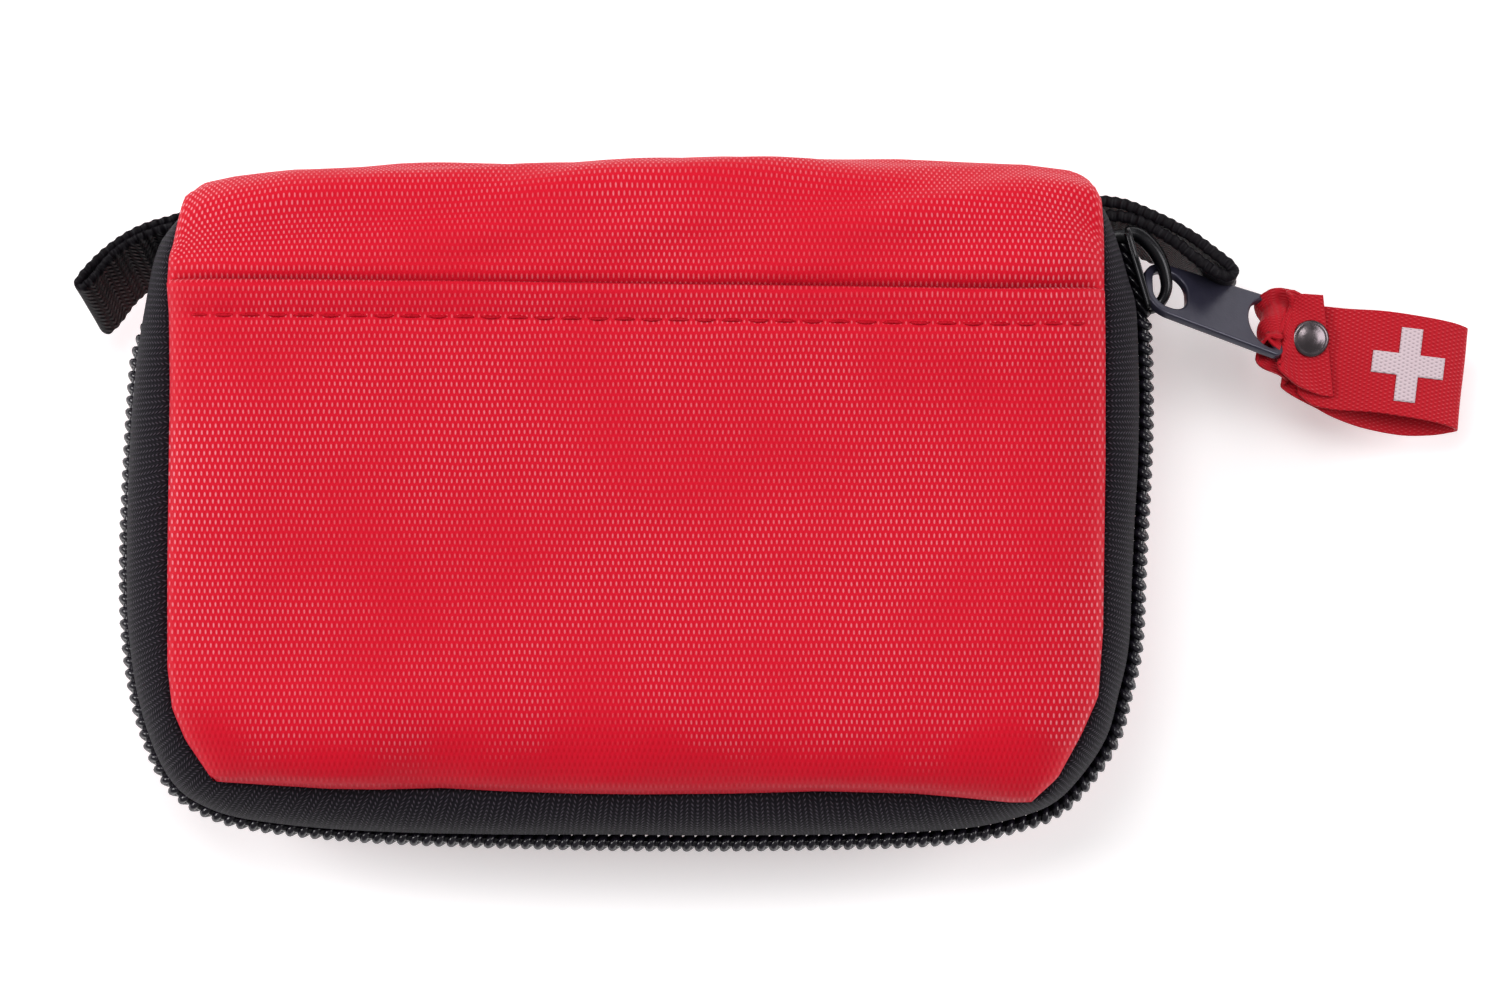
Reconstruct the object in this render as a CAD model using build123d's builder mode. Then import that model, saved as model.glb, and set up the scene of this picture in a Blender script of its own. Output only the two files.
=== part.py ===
from build123d import *
import math
import os

os.makedirs("parts", exist_ok=True)

# Soft pouch that opens like a book, lying on its back. Lengths in millimetres.
# X to the right, Y towards the spine, Z up out of the front.
thickness = 36.0
mid_z = thickness / 2
seam_half_width = 58.0
seam_bottom = -36.6
seam_corner = 12.5
seam_z = 29.0
panel_edge_radius = 5.5
panel_skin = 1.2
spine_y = 41.4
spine_half_width = 57.0
hinge_inset = 1.4
fold_gap = 0.3

# Zip: two rows of coil on cloth tapes, meeting on the middle plane.
coil_centre = 62.3
coil_width = 2.4
coil_row_height = 2.55
row_gap = 0.3
divider = 0.36
tape_skin = 1.0
tape_end_y = 36.8
coil_grow = coil_centre - seam_half_width
row_top = mid_z + row_gap + coil_row_height
front_row_end_y = 21.6

# Slip pocket on the front.
pocket_mouth_y = 27.4
layer = 0.6
layer_gap = 0.05

# Zip slider, on the straight right-hand side.
slider_y = 30.2
slider_length = 12.0
slider_half_height = 3.9
plate = 0.8
channel_gap = 0.3
strap = 1.0
strap_width = 1.2

# Pull tab, linked to the slider's bridge.
link_point = Vector(68.2, 28.0, mid_z)
tab_heading = -20.0
tab_droop = 30.0
tab_roll = -44.0
tab_thickness = 1.0
tab_length = 16.4
eye_centre = 0.6
eye_length = 5.4
eye_width = 6.0
tab_width_near = 8.2
tab_width_far = 9.6
slot_start = 13.1
slot_end = 15.0

# Ribbon on the pull tab.
ribbon_width = 12.7
ribbon_skin = 0.5
ribbon_heading = -8.0
ribbon_droop = 15.0
ribbon_length = 23.0
rivet_at = 3.0
rivet_side = 1.66
cross_at = 15.9
cross_size = 9.3
cross_arm = 2.8

mid_plane = Plane.XY.offset(mid_z)


def outline_block(low_z, low_grow, high_z, high_grow):
    """A block on the pouch's outline, grown by an amount at its bottom and its top."""
    with BuildPart() as block:
        for level, grow in ((low_z, low_grow), (high_z, high_grow)):
            with BuildSketch(Plane.XY.offset(level)):
                half = seam_half_width + grow
                low = seam_bottom - grow
                with BuildLine():
                    FilletPolyline(
                        (half, spine_y + 20),
                        (half, low),
                        (-half, low),
                        (-half, spine_y + 20),
                        radius=seam_corner + grow,
                    )
                    Line((-half, spine_y + 20), (half, spine_y + 20))
                make_face()
        loft()
    return block.part


def pillow(grow):
    """The front half's rounded block, grown all round by an amount."""
    with BuildPart() as block:
        add(outline_block(seam_z - 2, grow, thickness + grow, grow))
        rim = block.faces().sort_by(Axis.Z)[-1].edges().sort_by(Axis.Y)[:-1]
        fillet(rim, panel_edge_radius + grow)
    return block.part


def keep_below(limit_y):
    """A large block that reaches down to a level, for cutting away all that is beyond it."""
    with BuildPart() as block:
        with BuildSketch(Plane.XY.offset(-60)):
            with Locations((0, limit_y)):
                Rectangle(400, 200, align=(Align.CENTER, Align.MIN))
        extrude(amount=200)
    return block.part


def layer_shell(outer, inner, end_y):
    """A skin between two pillows, from the seam up and as far as a level."""
    with BuildPart() as shell:
        add(pillow(outer))
        add(pillow(inner), mode=Mode.SUBTRACT)
        with BuildSketch(Plane.XY.offset(seam_z - 4)):
            Rectangle(400, 400)
        extrude(amount=4, mode=Mode.SUBTRACT)
        add(keep_below(end_y), mode=Mode.SUBTRACT)
    return shell.part


def box(low, high, radius=0.0):
    """A block between two corners, its upright edges rounded by a radius."""
    with BuildPart() as block:
        with BuildSketch(Plane.XY.offset(low[2])):
            with Locations(((low[0] + high[0]) / 2, (low[1] + high[1]) / 2)):
                if radius:
                    RectangleRounded(high[0] - low[0], high[1] - low[1], radius)
                else:
                    Rectangle(high[0] - low[0], high[1] - low[1])
        extrude(amount=high[2] - low[2])
    return block.part


# Front half: panel, slip pocket, tape, coil row and lining.
with BuildPart() as front_panel:
    add(layer_shell(0, -panel_skin, spine_y - fold_gap))

with BuildPart() as slip_pocket:
    add(layer_shell(layer + layer_gap, layer_gap, pocket_mouth_y))

with BuildPart() as front_lining:
    add(layer_shell(-panel_skin - layer_gap, -panel_skin - layer, spine_y - 2))

with BuildPart() as front_tape:
    add(outline_block(row_top, coil_grow + tape_skin / 2, seam_z, tape_skin / 2 - 0.4))
    inner = tape_skin / 2
    add(outline_block(row_top, coil_grow - inner, seam_z, -inner - 0.4), mode=Mode.SUBTRACT)
    add(keep_below(tape_end_y), mode=Mode.SUBTRACT)

with BuildPart() as front_coil:
    half_coil = coil_width / 2
    low = mid_z + row_gap
    add(outline_block(low, coil_grow + half_coil, row_top - layer_gap, coil_grow + half_coil))
    add(
        outline_block(low, coil_grow - half_coil, row_top - layer_gap, coil_grow - half_coil),
        mode=Mode.SUBTRACT,
    )
    add(keep_below(tape_end_y), mode=Mode.SUBTRACT)
    add(
        box((0, front_row_end_y, 0), (100, 100, thickness)),
        mode=Mode.SUBTRACT,
    )

# Rear half, the same shapes facing down.
with BuildPart() as rear_panel:
    mirror(front_panel.part, about=mid_plane)

with BuildPart() as rear_lining:
    mirror(front_lining.part, about=mid_plane)

with BuildPart() as rear_tape:
    mirror(front_tape.part, about=mid_plane)

with BuildPart() as rear_coil:
    half_coil = coil_width / 2
    low = mid_z - row_gap - coil_row_height + layer_gap
    high = mid_z - row_gap
    add(outline_block(low, coil_grow + half_coil, high, coil_grow + half_coil))
    add(
        outline_block(low, coil_grow - half_coil, high, coil_grow - half_coil),
        mode=Mode.SUBTRACT,
    )
    add(keep_below(tape_end_y), mode=Mode.SUBTRACT)

# Spine, a flat strip between the two fold lines, with its lining.
spine_low = hinge_inset + fold_gap
with BuildPart() as spine_panel:
    add(
        box(
            (-spine_half_width, spine_y, spine_low),
            (spine_half_width, spine_y + panel_skin, thickness - spine_low),
        )
    )

with BuildPart() as spine_lining:
    add(
        box(
            (-spine_half_width + 2, spine_y - layer, spine_low + 2),
            (spine_half_width - 2, spine_y - layer_gap, thickness - spine_low - 2),
        )
    )

# Webbing loops at the two upper corners, held in the rear half's seam.
loop_low = 7.3
loop_high = mid_z - 0.5
webbing = 1.2


def webbing_loop(points):
    """A band of webbing on edge that follows points, one short run after another."""
    with BuildPart() as band:
        with BuildSketch(Plane.XY.offset(loop_low)):
            for near, far in zip(points, points[1:]):
                with BuildSketch(mode=Mode.PRIVATE) as run:
                    with Locations(near, far):
                        Circle(webbing / 2)
                    make_hull()
                add(run.sketch)
        extrude(amount=loop_high - loop_low)
    return band.part


left_path = [
    (-55.4, 40.0),
    (-61.4, 39.8),
    (-65.6, 37.6),
    (-68.8, 33.4),
    (-71.0, 28.2),
    (-70.0, 27.0),
    (-68.4, 28.4),
    (-66.8, 32.4),
    (-65.6, 36.2),
    (-63.6, 38.1),
    (-55.4, 38.2),
]
right_path = [
    (55.4, 40.0),
    (62.0, 39.8),
    (66.8, 38.2),
    (71.4, 35.4),
    (75.8, 32.2),
    (75.6, 30.9),
    (73.6, 31.6),
    (70.2, 33.8),
    (67.4, 36.6),
    (63.4, 38.0),
    (55.4, 38.2),
]

with BuildPart() as loop_left:
    add(webbing_loop(left_path))

with BuildPart() as loop_right:
    add(webbing_loop(right_path))

# Slider: two plates joined by a divider that runs between the coil rows, with lips and a bridge.
channel_half = coil_width / 2 + channel_gap
inner_face = coil_centre - channel_half
outer_face = coil_centre + channel_half
slider_low = slider_y - slider_length / 2
slider_high = slider_y + slider_length / 2
slider_floor = mid_z - slider_half_height
slider_roof = mid_z + slider_half_height
with BuildPart() as slider_body:
    for face in (inner_face - plate, outer_face):
        add(box((face, slider_low, slider_floor), (face + plate, slider_high, slider_roof)))
    for lip in (slider_floor, slider_roof - 0.7):
        add(box((outer_face - 0.35, slider_low, lip), (outer_face, slider_high, lip + 0.7)))
    add(
        box(
            (inner_face - plate / 2, slider_high - 6.0, mid_z - divider / 2),
            (outer_face + plate / 2, slider_high - 0.4, mid_z + divider / 2),
        )
    )
    near = slider_body.faces().filter_by(Axis.X).sort_by(Axis.X)
    fillet(near[-1].edges().filter_by(Axis.Z), 0.6)

outer_plate = outer_face + plate
strap_x = link_point.X
with BuildPart() as slider_bridge:
    with BuildSketch(Plane.XY.offset(mid_z - strap_width / 2)):
        with BuildLine() as path:
            FilletPolyline(
                (outer_plate + 0.05, slider_high - 0.9),
                (strap_x - 0.9, slider_high - 1.9),
                (strap_x, slider_high - 4.6),
                (strap_x, slider_low + 1.0),
                (outer_plate + 0.05, slider_low + 0.9),
                radius=0.8,
            )
        trace(path.wires()[0], line_width=strap)
    extrude(amount=strap_width)
    add(
        box(
            (outer_face, slider_low - 2, 0),
            (outer_plate + layer_gap, slider_high + 2, thickness),
        ),
        mode=Mode.SUBTRACT,
    )

# Pull tab: a flat bar with an eye round the bridge and a slot for the ribbon.
heading = Vector(1, 0, 0).rotate(Axis.Z, tab_heading)
side = Vector(0, 1, 0).rotate(Axis.Z, tab_heading)
tab_x = heading.rotate(Axis((0, 0, 0), side), tab_droop)
tab_y = side.rotate(Axis((0, 0, 0), tab_x), tab_roll)
tab_z = tab_x.cross(tab_y)
tab_plane = Plane(origin=link_point, x_dir=tab_x, z_dir=tab_z)
tab_under = Plane(origin=link_point - tab_z * tab_thickness / 2, x_dir=tab_x, z_dir=tab_z)
near_end = eye_centre - eye_length / 2 - 0.9
with BuildPart() as pull_tab:
    with BuildSketch(tab_under):
        with BuildLine():
            FilletPolyline(
                (near_end, tab_width_near / 2),
                (tab_length, tab_width_far / 2),
                (tab_length, -tab_width_far / 2),
                (near_end, -tab_width_near / 2),
                radius=(2.6, 1.0, 1.0, 2.6),
                close=True,
            )
        make_face()
        with Locations((eye_centre, 0)):
            RectangleRounded(eye_length, eye_width, 1.9, mode=Mode.SUBTRACT)
        with BuildLine():
            half_slot = tab_width_far / 2 - 1.1
            Line((slot_end, -half_slot), (slot_end, half_slot))
            ThreePointArc((slot_end, half_slot), (slot_start, 0), (slot_end, -half_slot))
        make_face(mode=Mode.SUBTRACT)
    extrude(amount=tab_thickness)

# Ribbon: a neck round the tab's end bar, then a flat doubled loop with a rivet and a cross.
bar_centre = (slot_end + tab_length) / 2
bar_point = tab_plane.from_local_coords((bar_centre, 0, 0))
ribbon_x = Vector(1, 0, 0).rotate(Axis.Z, ribbon_heading)
ribbon_y = Vector(0, 1, 0).rotate(Axis.Z, ribbon_heading)
ribbon_x = ribbon_x.rotate(Axis((0, 0, 0), ribbon_y), ribbon_droop)
ribbon_z = ribbon_x.cross(ribbon_y)
ribbon_centre = bar_point + ribbon_x * 1.2 - ribbon_y * 2.6


def ribbon_level(height):
    """The ribbon's own plane, raised by a height."""
    return Plane(origin=ribbon_centre + ribbon_z * height, x_dir=ribbon_x, z_dir=ribbon_z)


def across(plane, back):
    """A plane that looks along another one's width, moved back along it."""
    return Plane(origin=plane.origin + plane.y_dir * back, x_dir=plane.x_dir, z_dir=-plane.y_dir)


wrap_radius = 1.55
neck_width = 5.6
pinch = 2 * ribbon_skin + 0.1
with BuildPart() as ribbon:
    with BuildSketch(across(Plane(origin=bar_point, x_dir=tab_x, z_dir=tab_z), neck_width / 2)):
        Circle(wrap_radius)
        Circle(wrap_radius - ribbon_skin, mode=Mode.SUBTRACT)
    extrude(amount=neck_width)
    with BuildSketch(across(ribbon_level(0), ribbon_width / 2)):
        with BuildLine():
            Polyline(
                (5.0, -pinch / 2),
                (6.6, -pinch / 2),
                (12.0, -1.5),
                (20.4, -1.5),
                (ribbon_length, -0.6),
                (ribbon_length, 0.6),
                (20.4, 1.5),
                (12.0, 1.5),
                (6.6, pinch / 2),
                (5.0, pinch / 2),
                close=True,
            )
        make_face()
        with BuildLine():
            Polyline(
                (7.6, -0.16),
                (12.0, -1.5 + ribbon_skin),
                (20.0, -1.5 + ribbon_skin),
                (ribbon_length - ribbon_skin, -0.35),
                (ribbon_length - ribbon_skin, 0.35),
                (20.0, 1.5 - ribbon_skin),
                (12.0, 1.5 - ribbon_skin),
                (7.6, 0.16),
                close=True,
            )
        make_face(mode=Mode.SUBTRACT)
    extrude(amount=ribbon_width)
    with BuildSketch(ribbon_level(-pinch / 2)):
        with BuildLine():
            Polyline(
                (0.0, 0.9),
                (5.2, -ribbon_width / 2),
                (5.2, ribbon_width / 2),
                (2.4, ribbon_width / 2),
                (0.0, 4.3),
                close=True,
            )
        make_face()
    extrude(amount=pinch)
    with BuildSketch(ribbon_level(-pinch / 2)):
        with Locations((rivet_at, rivet_side)):
            Circle(1.05)
    extrude(amount=pinch, mode=Mode.SUBTRACT)

cap_radius = 2.3
with BuildPart() as rivet_cap:
    with BuildSketch(ribbon_level(pinch / 2 + layer_gap)):
        with Locations((rivet_at, rivet_side)):
            Circle(cap_radius)
    extrude(amount=0.9)
    with BuildSketch(ribbon_level(-pinch / 2)):
        with Locations((rivet_at, rivet_side)):
            Circle(0.95)
    extrude(amount=pinch + 0.2)

with BuildPart() as rivet_base:
    with BuildSketch(ribbon_level(-pinch / 2 - layer_gap - 0.6)):
        with Locations((rivet_at, rivet_side)):
            Circle(cap_radius - 0.2)
    extrude(amount=0.6)

with BuildPart() as ribbon_cross:
    with BuildSketch(ribbon_level(1.5 + 0.02)):
        with Locations((cross_at, 0)):
            Rectangle(cross_size, cross_arm)
            Rectangle(cross_arm, cross_size)
    extrude(amount=0.15)

# Inside the cover: a mesh pocket with wrapped plasters in it.
pocket_skin = 0.5
pocket_low = 29.6
pocket_high = thickness - panel_skin - layer - 0.1
pocket_half = 49.0
with BuildPart() as mesh_pocket:
    add(box((-pocket_half, -29, pocket_low), (pocket_half, 20, pocket_high)))
    add(
        box(
            (-pocket_half + pocket_skin, -29 + pocket_skin, pocket_low + pocket_skin),
            (pocket_half - pocket_skin, 30, pocket_high),
        ),
        mode=Mode.SUBTRACT,
    )

with BuildPart() as pocket_binding:
    add(box((-pocket_half, 20.05, pocket_low - 0.2), (pocket_half, 23.6, pocket_low + 0.9)))

with BuildPart() as plasters_large:
    add(box((-42, -26, 31.4), (-4, 12, 33.4), 1.0))

with BuildPart() as plasters_small:
    add(box((4, -24, 31.4), (42, -4, 33.4), 1.0))

# Inside the rear half: rolls under an elastic band, packets, scissors and tweezers.
floor_z = panel_skin + layer + 0.05
# Each roll's centre across the pouch, its radius and where its two ends are.
roll_sizes = {
    "bandage_roll_wide": (-40.5, 10.2, -24.0, 26.0),
    "bandage_roll_narrow": (-19.0, 9.0, -20.0, 20.0),
}
rolls = {}
for name, (roll_x, roll_radius, roll_low, roll_high) in roll_sizes.items():
    with BuildPart() as roll:
        with BuildSketch(Plane.XZ.offset(-roll_high)):
            with Locations((roll_x, floor_z + roll_radius)):
                Circle(roll_radius)
        extrude(amount=roll_high - roll_low)
        fillet(roll.edges(), 1.0)
    rolls[name] = roll.part
bandage_roll_wide = rolls["bandage_roll_wide"]
bandage_roll_narrow = rolls["bandage_roll_narrow"]

band_low = -2.0
band_high = 14.0
with BuildPart() as elastic_band:
    with BuildSketch(Plane.XZ.offset(-band_high)):
        for grow, mode in ((1.0, Mode.ADD), (0.2, Mode.SUBTRACT)):
            with BuildSketch(mode=Mode.PRIVATE) as wrap:
                for roll_x, roll_radius, roll_low, roll_high in roll_sizes.values():
                    with Locations((roll_x, floor_z + roll_radius)):
                        Circle(roll_radius + grow)
                make_hull()
            add(wrap.sketch, mode=mode)
        with Locations((-30, floor_z)):
            Rectangle(80, 20, align=(Align.CENTER, Align.MAX), mode=Mode.SUBTRACT)
    extrude(amount=band_high - band_low)

with BuildPart() as gauze_packet:
    add(box((3, -30, floor_z), (49, 14, floor_z + 4.4), 1.5))

with BuildPart() as wipe_packet_lower:
    add(box((4, 16, floor_z), (50, 38, floor_z + 2.0), 0.8))

with BuildPart() as wipe_packet_upper:
    add(box((6, 17, floor_z + 2.05), (48, 37, floor_z + 4.2), 0.8))

# Scissors, laid flat on the packets, points towards the bottom seam.
pivot_x = 22.0
pivot_y = -4.0
blade_z = floor_z + 4.7
blade_skin = 1.1
handle_skin = 2.6


def blade(way):
    """One blade, its cutting edge on the middle line; way is 1 or -1 for the side of its back."""
    level = blade_z if way > 0 else blade_z + blade_skin + layer_gap
    with BuildPart() as half:
        with BuildSketch(Plane.XY.offset(level)):
            with BuildLine():
                Polyline(
                    (pivot_x - way * 0.6, pivot_y - 27),
                    (pivot_x + way * 3.6, pivot_y - 8),
                    (pivot_x + way * 4.0, pivot_y + 3),
                    (pivot_x - way * 3.0, pivot_y + 11),
                    (pivot_x - way * 6.4, pivot_y + 9),
                    (pivot_x - way * 3.6, pivot_y - 3),
                    close=True,
                )
            make_face()
            with Locations((pivot_x, pivot_y)):
                Circle(1.4, mode=Mode.SUBTRACT)
        extrude(amount=blade_skin)
    return half.part


def handle(way):
    """One finger ring with its shank, on the side that its blade crosses to."""
    ring_x = pivot_x - way * 8.6
    ring_y = pivot_y + 29
    with BuildPart() as grip:
        with BuildSketch(Plane.XY.offset(blade_z)):
            with Locations((ring_x, ring_y)):
                Ellipse(8.0, 10.5)
            with BuildLine():
                Polyline(
                    (pivot_x - way * 3.1, pivot_y + 11.3),
                    (pivot_x - way * 7.6, pivot_y + 9.6),
                    (ring_x - way * 3.0, ring_y - 8.6),
                    (ring_x + way * 6.0, ring_y - 6.6),
                    close=True,
                )
            make_face()
            with Locations((ring_x, ring_y)):
                Ellipse(5.6, 8.1, mode=Mode.SUBTRACT)
            if way > 0:
                with Locations((pivot_x, 0)):
                    Rectangle(60, 120, align=(Align.MIN, Align.CENTER), mode=Mode.SUBTRACT)
            else:
                with Locations((pivot_x, 0)):
                    Rectangle(60, 120, align=(Align.MAX, Align.CENTER), mode=Mode.SUBTRACT)
        extrude(amount=handle_skin)
    return grip.part


with BuildPart() as scissors_blade_fixed:
    add(blade(-1))

with BuildPart() as scissors_blade_moving:
    add(blade(1))

with BuildPart() as scissors_handle_fixed:
    add(handle(-1))

with BuildPart() as scissors_handle_moving:
    add(handle(1))

with BuildPart() as scissors_pivot:
    with BuildSketch(Plane.XY.offset(blade_z)):
        with Locations((pivot_x, pivot_y)):
            Circle(1.35)
    extrude(amount=2 * blade_skin + 2 * layer_gap)
    with BuildSketch(Plane.XY.offset(blade_z + 2 * blade_skin + 2 * layer_gap)):
        with Locations((pivot_x, pivot_y)):
            Circle(2.4)
    extrude(amount=0.6)

# Tweezers: one bent strip, closed at its head.
with BuildPart() as tweezers:
    with BuildSketch(Plane.XY.offset(blade_z)):
        with BuildLine():
            Polyline(
                (46.4, -30),
                (44.2, -6),
                (45.4, 27),
                (49.0, 27),
                (50.2, -6),
                (48.0, -30),
                (47.5, -30),
                (48.8, -6),
                (47.9, 20),
                (46.5, 20),
                (45.6, -6),
                (46.9, -30),
                close=True,
            )
        make_face()
    extrude(amount=2.4)

sub_parts = {
    "rear_panel": rear_panel.part,
    "rear_lining": rear_lining.part,
    "rear_tape": rear_tape.part,
    "rear_coil": rear_coil.part,
    "spine_panel": spine_panel.part,
    "spine_lining": spine_lining.part,
    "front_panel": front_panel.part,
    "slip_pocket": slip_pocket.part,
    "front_tape": front_tape.part,
    "front_coil": front_coil.part,
    "front_lining": front_lining.part,
    "mesh_pocket": mesh_pocket.part,
    "pocket_binding": pocket_binding.part,
    "plasters_large": plasters_large.part,
    "plasters_small": plasters_small.part,
    "loop_left": loop_left.part,
    "loop_right": loop_right.part,
    "slider_body": slider_body.part,
    "slider_bridge": slider_bridge.part,
    "pull_tab": pull_tab.part,
    "ribbon": ribbon.part,
    "ribbon_cross": ribbon_cross.part,
    "rivet_cap": rivet_cap.part,
    "rivet_base": rivet_base.part,
    "bandage_roll_wide": bandage_roll_wide,
    "bandage_roll_narrow": bandage_roll_narrow,
    "elastic_band": elastic_band.part,
    "gauze_packet": gauze_packet.part,
    "wipe_packet_lower": wipe_packet_lower.part,
    "wipe_packet_upper": wipe_packet_upper.part,
    "scissors_blade_fixed": scissors_blade_fixed.part,
    "scissors_handle_fixed": scissors_handle_fixed.part,
    "scissors_blade_moving": scissors_blade_moving.part,
    "scissors_handle_moving": scissors_handle_moving.part,
    "scissors_pivot": scissors_pivot.part,
    "tweezers": tweezers.part,
}
for name, solid in sub_parts.items():
    solid.label = name
    export_step(solid, f"parts/{name}.step")
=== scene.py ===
import math

import bmesh
import bpy
import numpy as np
from mathutils import Matrix, Vector, noise


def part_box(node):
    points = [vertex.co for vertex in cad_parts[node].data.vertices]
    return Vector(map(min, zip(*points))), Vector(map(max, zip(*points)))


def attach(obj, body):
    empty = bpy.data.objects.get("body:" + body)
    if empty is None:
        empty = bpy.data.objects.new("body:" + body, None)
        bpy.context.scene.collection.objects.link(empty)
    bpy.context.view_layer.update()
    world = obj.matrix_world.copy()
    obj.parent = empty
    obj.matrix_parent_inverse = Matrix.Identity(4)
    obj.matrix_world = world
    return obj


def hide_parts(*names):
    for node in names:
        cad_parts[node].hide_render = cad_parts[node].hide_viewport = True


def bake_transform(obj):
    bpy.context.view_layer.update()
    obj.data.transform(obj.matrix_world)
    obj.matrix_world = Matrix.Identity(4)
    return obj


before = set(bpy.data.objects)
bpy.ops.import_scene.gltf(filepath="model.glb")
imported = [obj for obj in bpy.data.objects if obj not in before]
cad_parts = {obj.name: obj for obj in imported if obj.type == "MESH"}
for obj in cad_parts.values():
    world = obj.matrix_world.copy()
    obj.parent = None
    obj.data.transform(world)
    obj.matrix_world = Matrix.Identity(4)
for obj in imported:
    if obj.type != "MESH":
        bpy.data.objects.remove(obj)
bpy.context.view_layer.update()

MM = 0.001

# Places and sizes taken from the frame, in metres.
panel_low, panel_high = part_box("front_panel")
top_z = panel_high[2]
mid_z = top_z / 2
seam_z = panel_low[2]


# ---------------------------------------------------------------- small tools

def length_of(path):
    """The running length along a path, from 0."""
    return np.concatenate([[0], np.cumsum(np.linalg.norm(np.diff(path, axis=0), axis=1))])


def read_at(at, run, rows):
    """The rows of a path, read at the given running lengths."""
    return np.stack([np.interp(at, run, rows[:, k]) for k in range(rows.shape[1])], axis=1)


def path_through(points, count):
    """Points evenly spaced along a smooth curve through the given points."""
    p = np.array(points, float)
    p = np.vstack([2 * p[0] - p[1], p, 2 * p[-1] - p[-2]])
    t = np.linspace(0, 1, 24, endpoint=False)[:, None]
    fine = []
    for a, b, c, d in zip(p, p[1:], p[2:], p[3:]):
        square, cube = 2 * a - 5 * b + 4 * c - d, 3 * b - a - 3 * c + d
        fine.append(0.5 * (2 * b + (c - a) * t + square * t**2 + cube * t**3))
    fine = np.vstack(fine + [p[-2][None]])
    run = length_of(fine)
    return read_at(np.linspace(0, run[-1], count), run, fine)


def unit(v):
    """Rows scaled to length 1."""
    return v / np.maximum(np.linalg.norm(v, axis=-1, keepdims=True), 1e-12)


def ramp(value, low, high):
    """0 below low, 1 above high, smooth between."""
    t = np.clip((np.asarray(value, float) - low) / (high - low), 0, 1)
    return t * t * (3 - 2 * t)


def waves(points, scale, seed=0.0):
    """Smooth noise from about -1 to 1 at each point; scale is the size of its lumps along each axis."""
    scaled = np.asarray(points, float) / np.asarray(scale, float) + seed
    return np.array([noise.noise(Vector(p)) for p in scaled.reshape(-1, 3)]).reshape(scaled.shape[:-1])


def in_scene(name, data):
    """A new object in the scene with that data."""
    obj = bpy.data.objects.new(name, data)
    bpy.context.collection.objects.link(obj)
    return obj


def new_object(name, verts, faces, material, uvs=None):
    """An object from points and faces, with its own UV map in metres where one is given."""
    mesh = bpy.data.meshes.new(name)
    mesh.from_pydata([tuple(v) for v in verts], [], [tuple(int(i) for i in f) for f in faces])
    if uvs is not None:
        layer = mesh.uv_layers.new(name="cloth")
        loops = np.zeros(len(mesh.loops), np.int32)
        mesh.loops.foreach_get("vertex_index", loops)
        layer.data.foreach_set("uv", np.asarray(uvs, np.float32)[loops].ravel())
    mesh.update()
    mesh.shade_smooth()
    mesh.materials.append(material)
    return in_scene(name, mesh)


def grid_faces(rows, columns, wrap=False):
    """Quads of a grid; wrap joins its last column to its first."""
    faces = []
    for r in range(rows - 1):
        for c in range(columns if wrap else columns - 1):
            d = (c + 1) % columns
            faces.append((r * columns + c, r * columns + d, (r + 1) * columns + d, (r + 1) * columns + c))
    return faces


def grid_object(name, points, material, uv, flip=False):
    """An open sheet from a grid of points, shape (rows, columns, 3)."""
    rows, columns = points.shape[:2]
    faces = grid_faces(rows, columns)
    if flip:
        faces = [f[::-1] for f in faces]
    return new_object(name, points.reshape(-1, 3), faces, material, uvs=uv.reshape(-1, 2))


def tube_mesh(line, radius, sides, squash=1.0):
    """Points and faces of a closed tube along a line; squash scales its height."""
    ahead = unit(np.gradient(line, axis=0))
    side = unit(np.cross(ahead, (0, 0, 1.0)))
    top = np.cross(side, ahead)
    turn = np.linspace(0, 2 * math.pi, sides, endpoint=False)
    r = np.broadcast_to(radius, (len(line),))[:, None, None]
    ring = side[:, None] * np.cos(turn)[None, :, None] + top[:, None] * np.sin(turn)[None, :, None] * squash
    verts = (line[:, None] + ring * r).reshape(-1, 3)
    faces = grid_faces(len(line), sides, wrap=True)
    last = (len(line) - 1) * sides
    faces.append(tuple(range(sides))[::-1])
    faces.append(tuple(last + i for i in range(sides)))
    return verts, faces


def joined(parts):
    """Several (points, faces) pairs as one pair."""
    verts, faces, start = [], [], 0
    for v, f in parts:
        verts.append(np.asarray(v))
        faces += [tuple(start + i for i in face) for face in f]
        start += len(v)
    return np.vstack(verts), faces


def modify(obj, kind, **values):
    """Adds a modifier with the given settings."""
    m = obj.modifiers.new(kind.lower(), kind)
    for key, value in values.items():
        setattr(m, key, value)
    return m


def thicken(obj, thickness, offset=-1):
    """Gives a sheet its thickness, in millimetres: inward at offset -1, both ways at 0, outward at 1."""
    modify(obj, "SOLIDIFY", thickness=thickness * MM, offset=offset)


def stands_for(obj, node, body):
    """Says which CAD node a piece replaces and the body that it rides."""
    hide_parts(node)
    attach(obj, body)


# ------------------------------------------------------------------ materials

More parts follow.
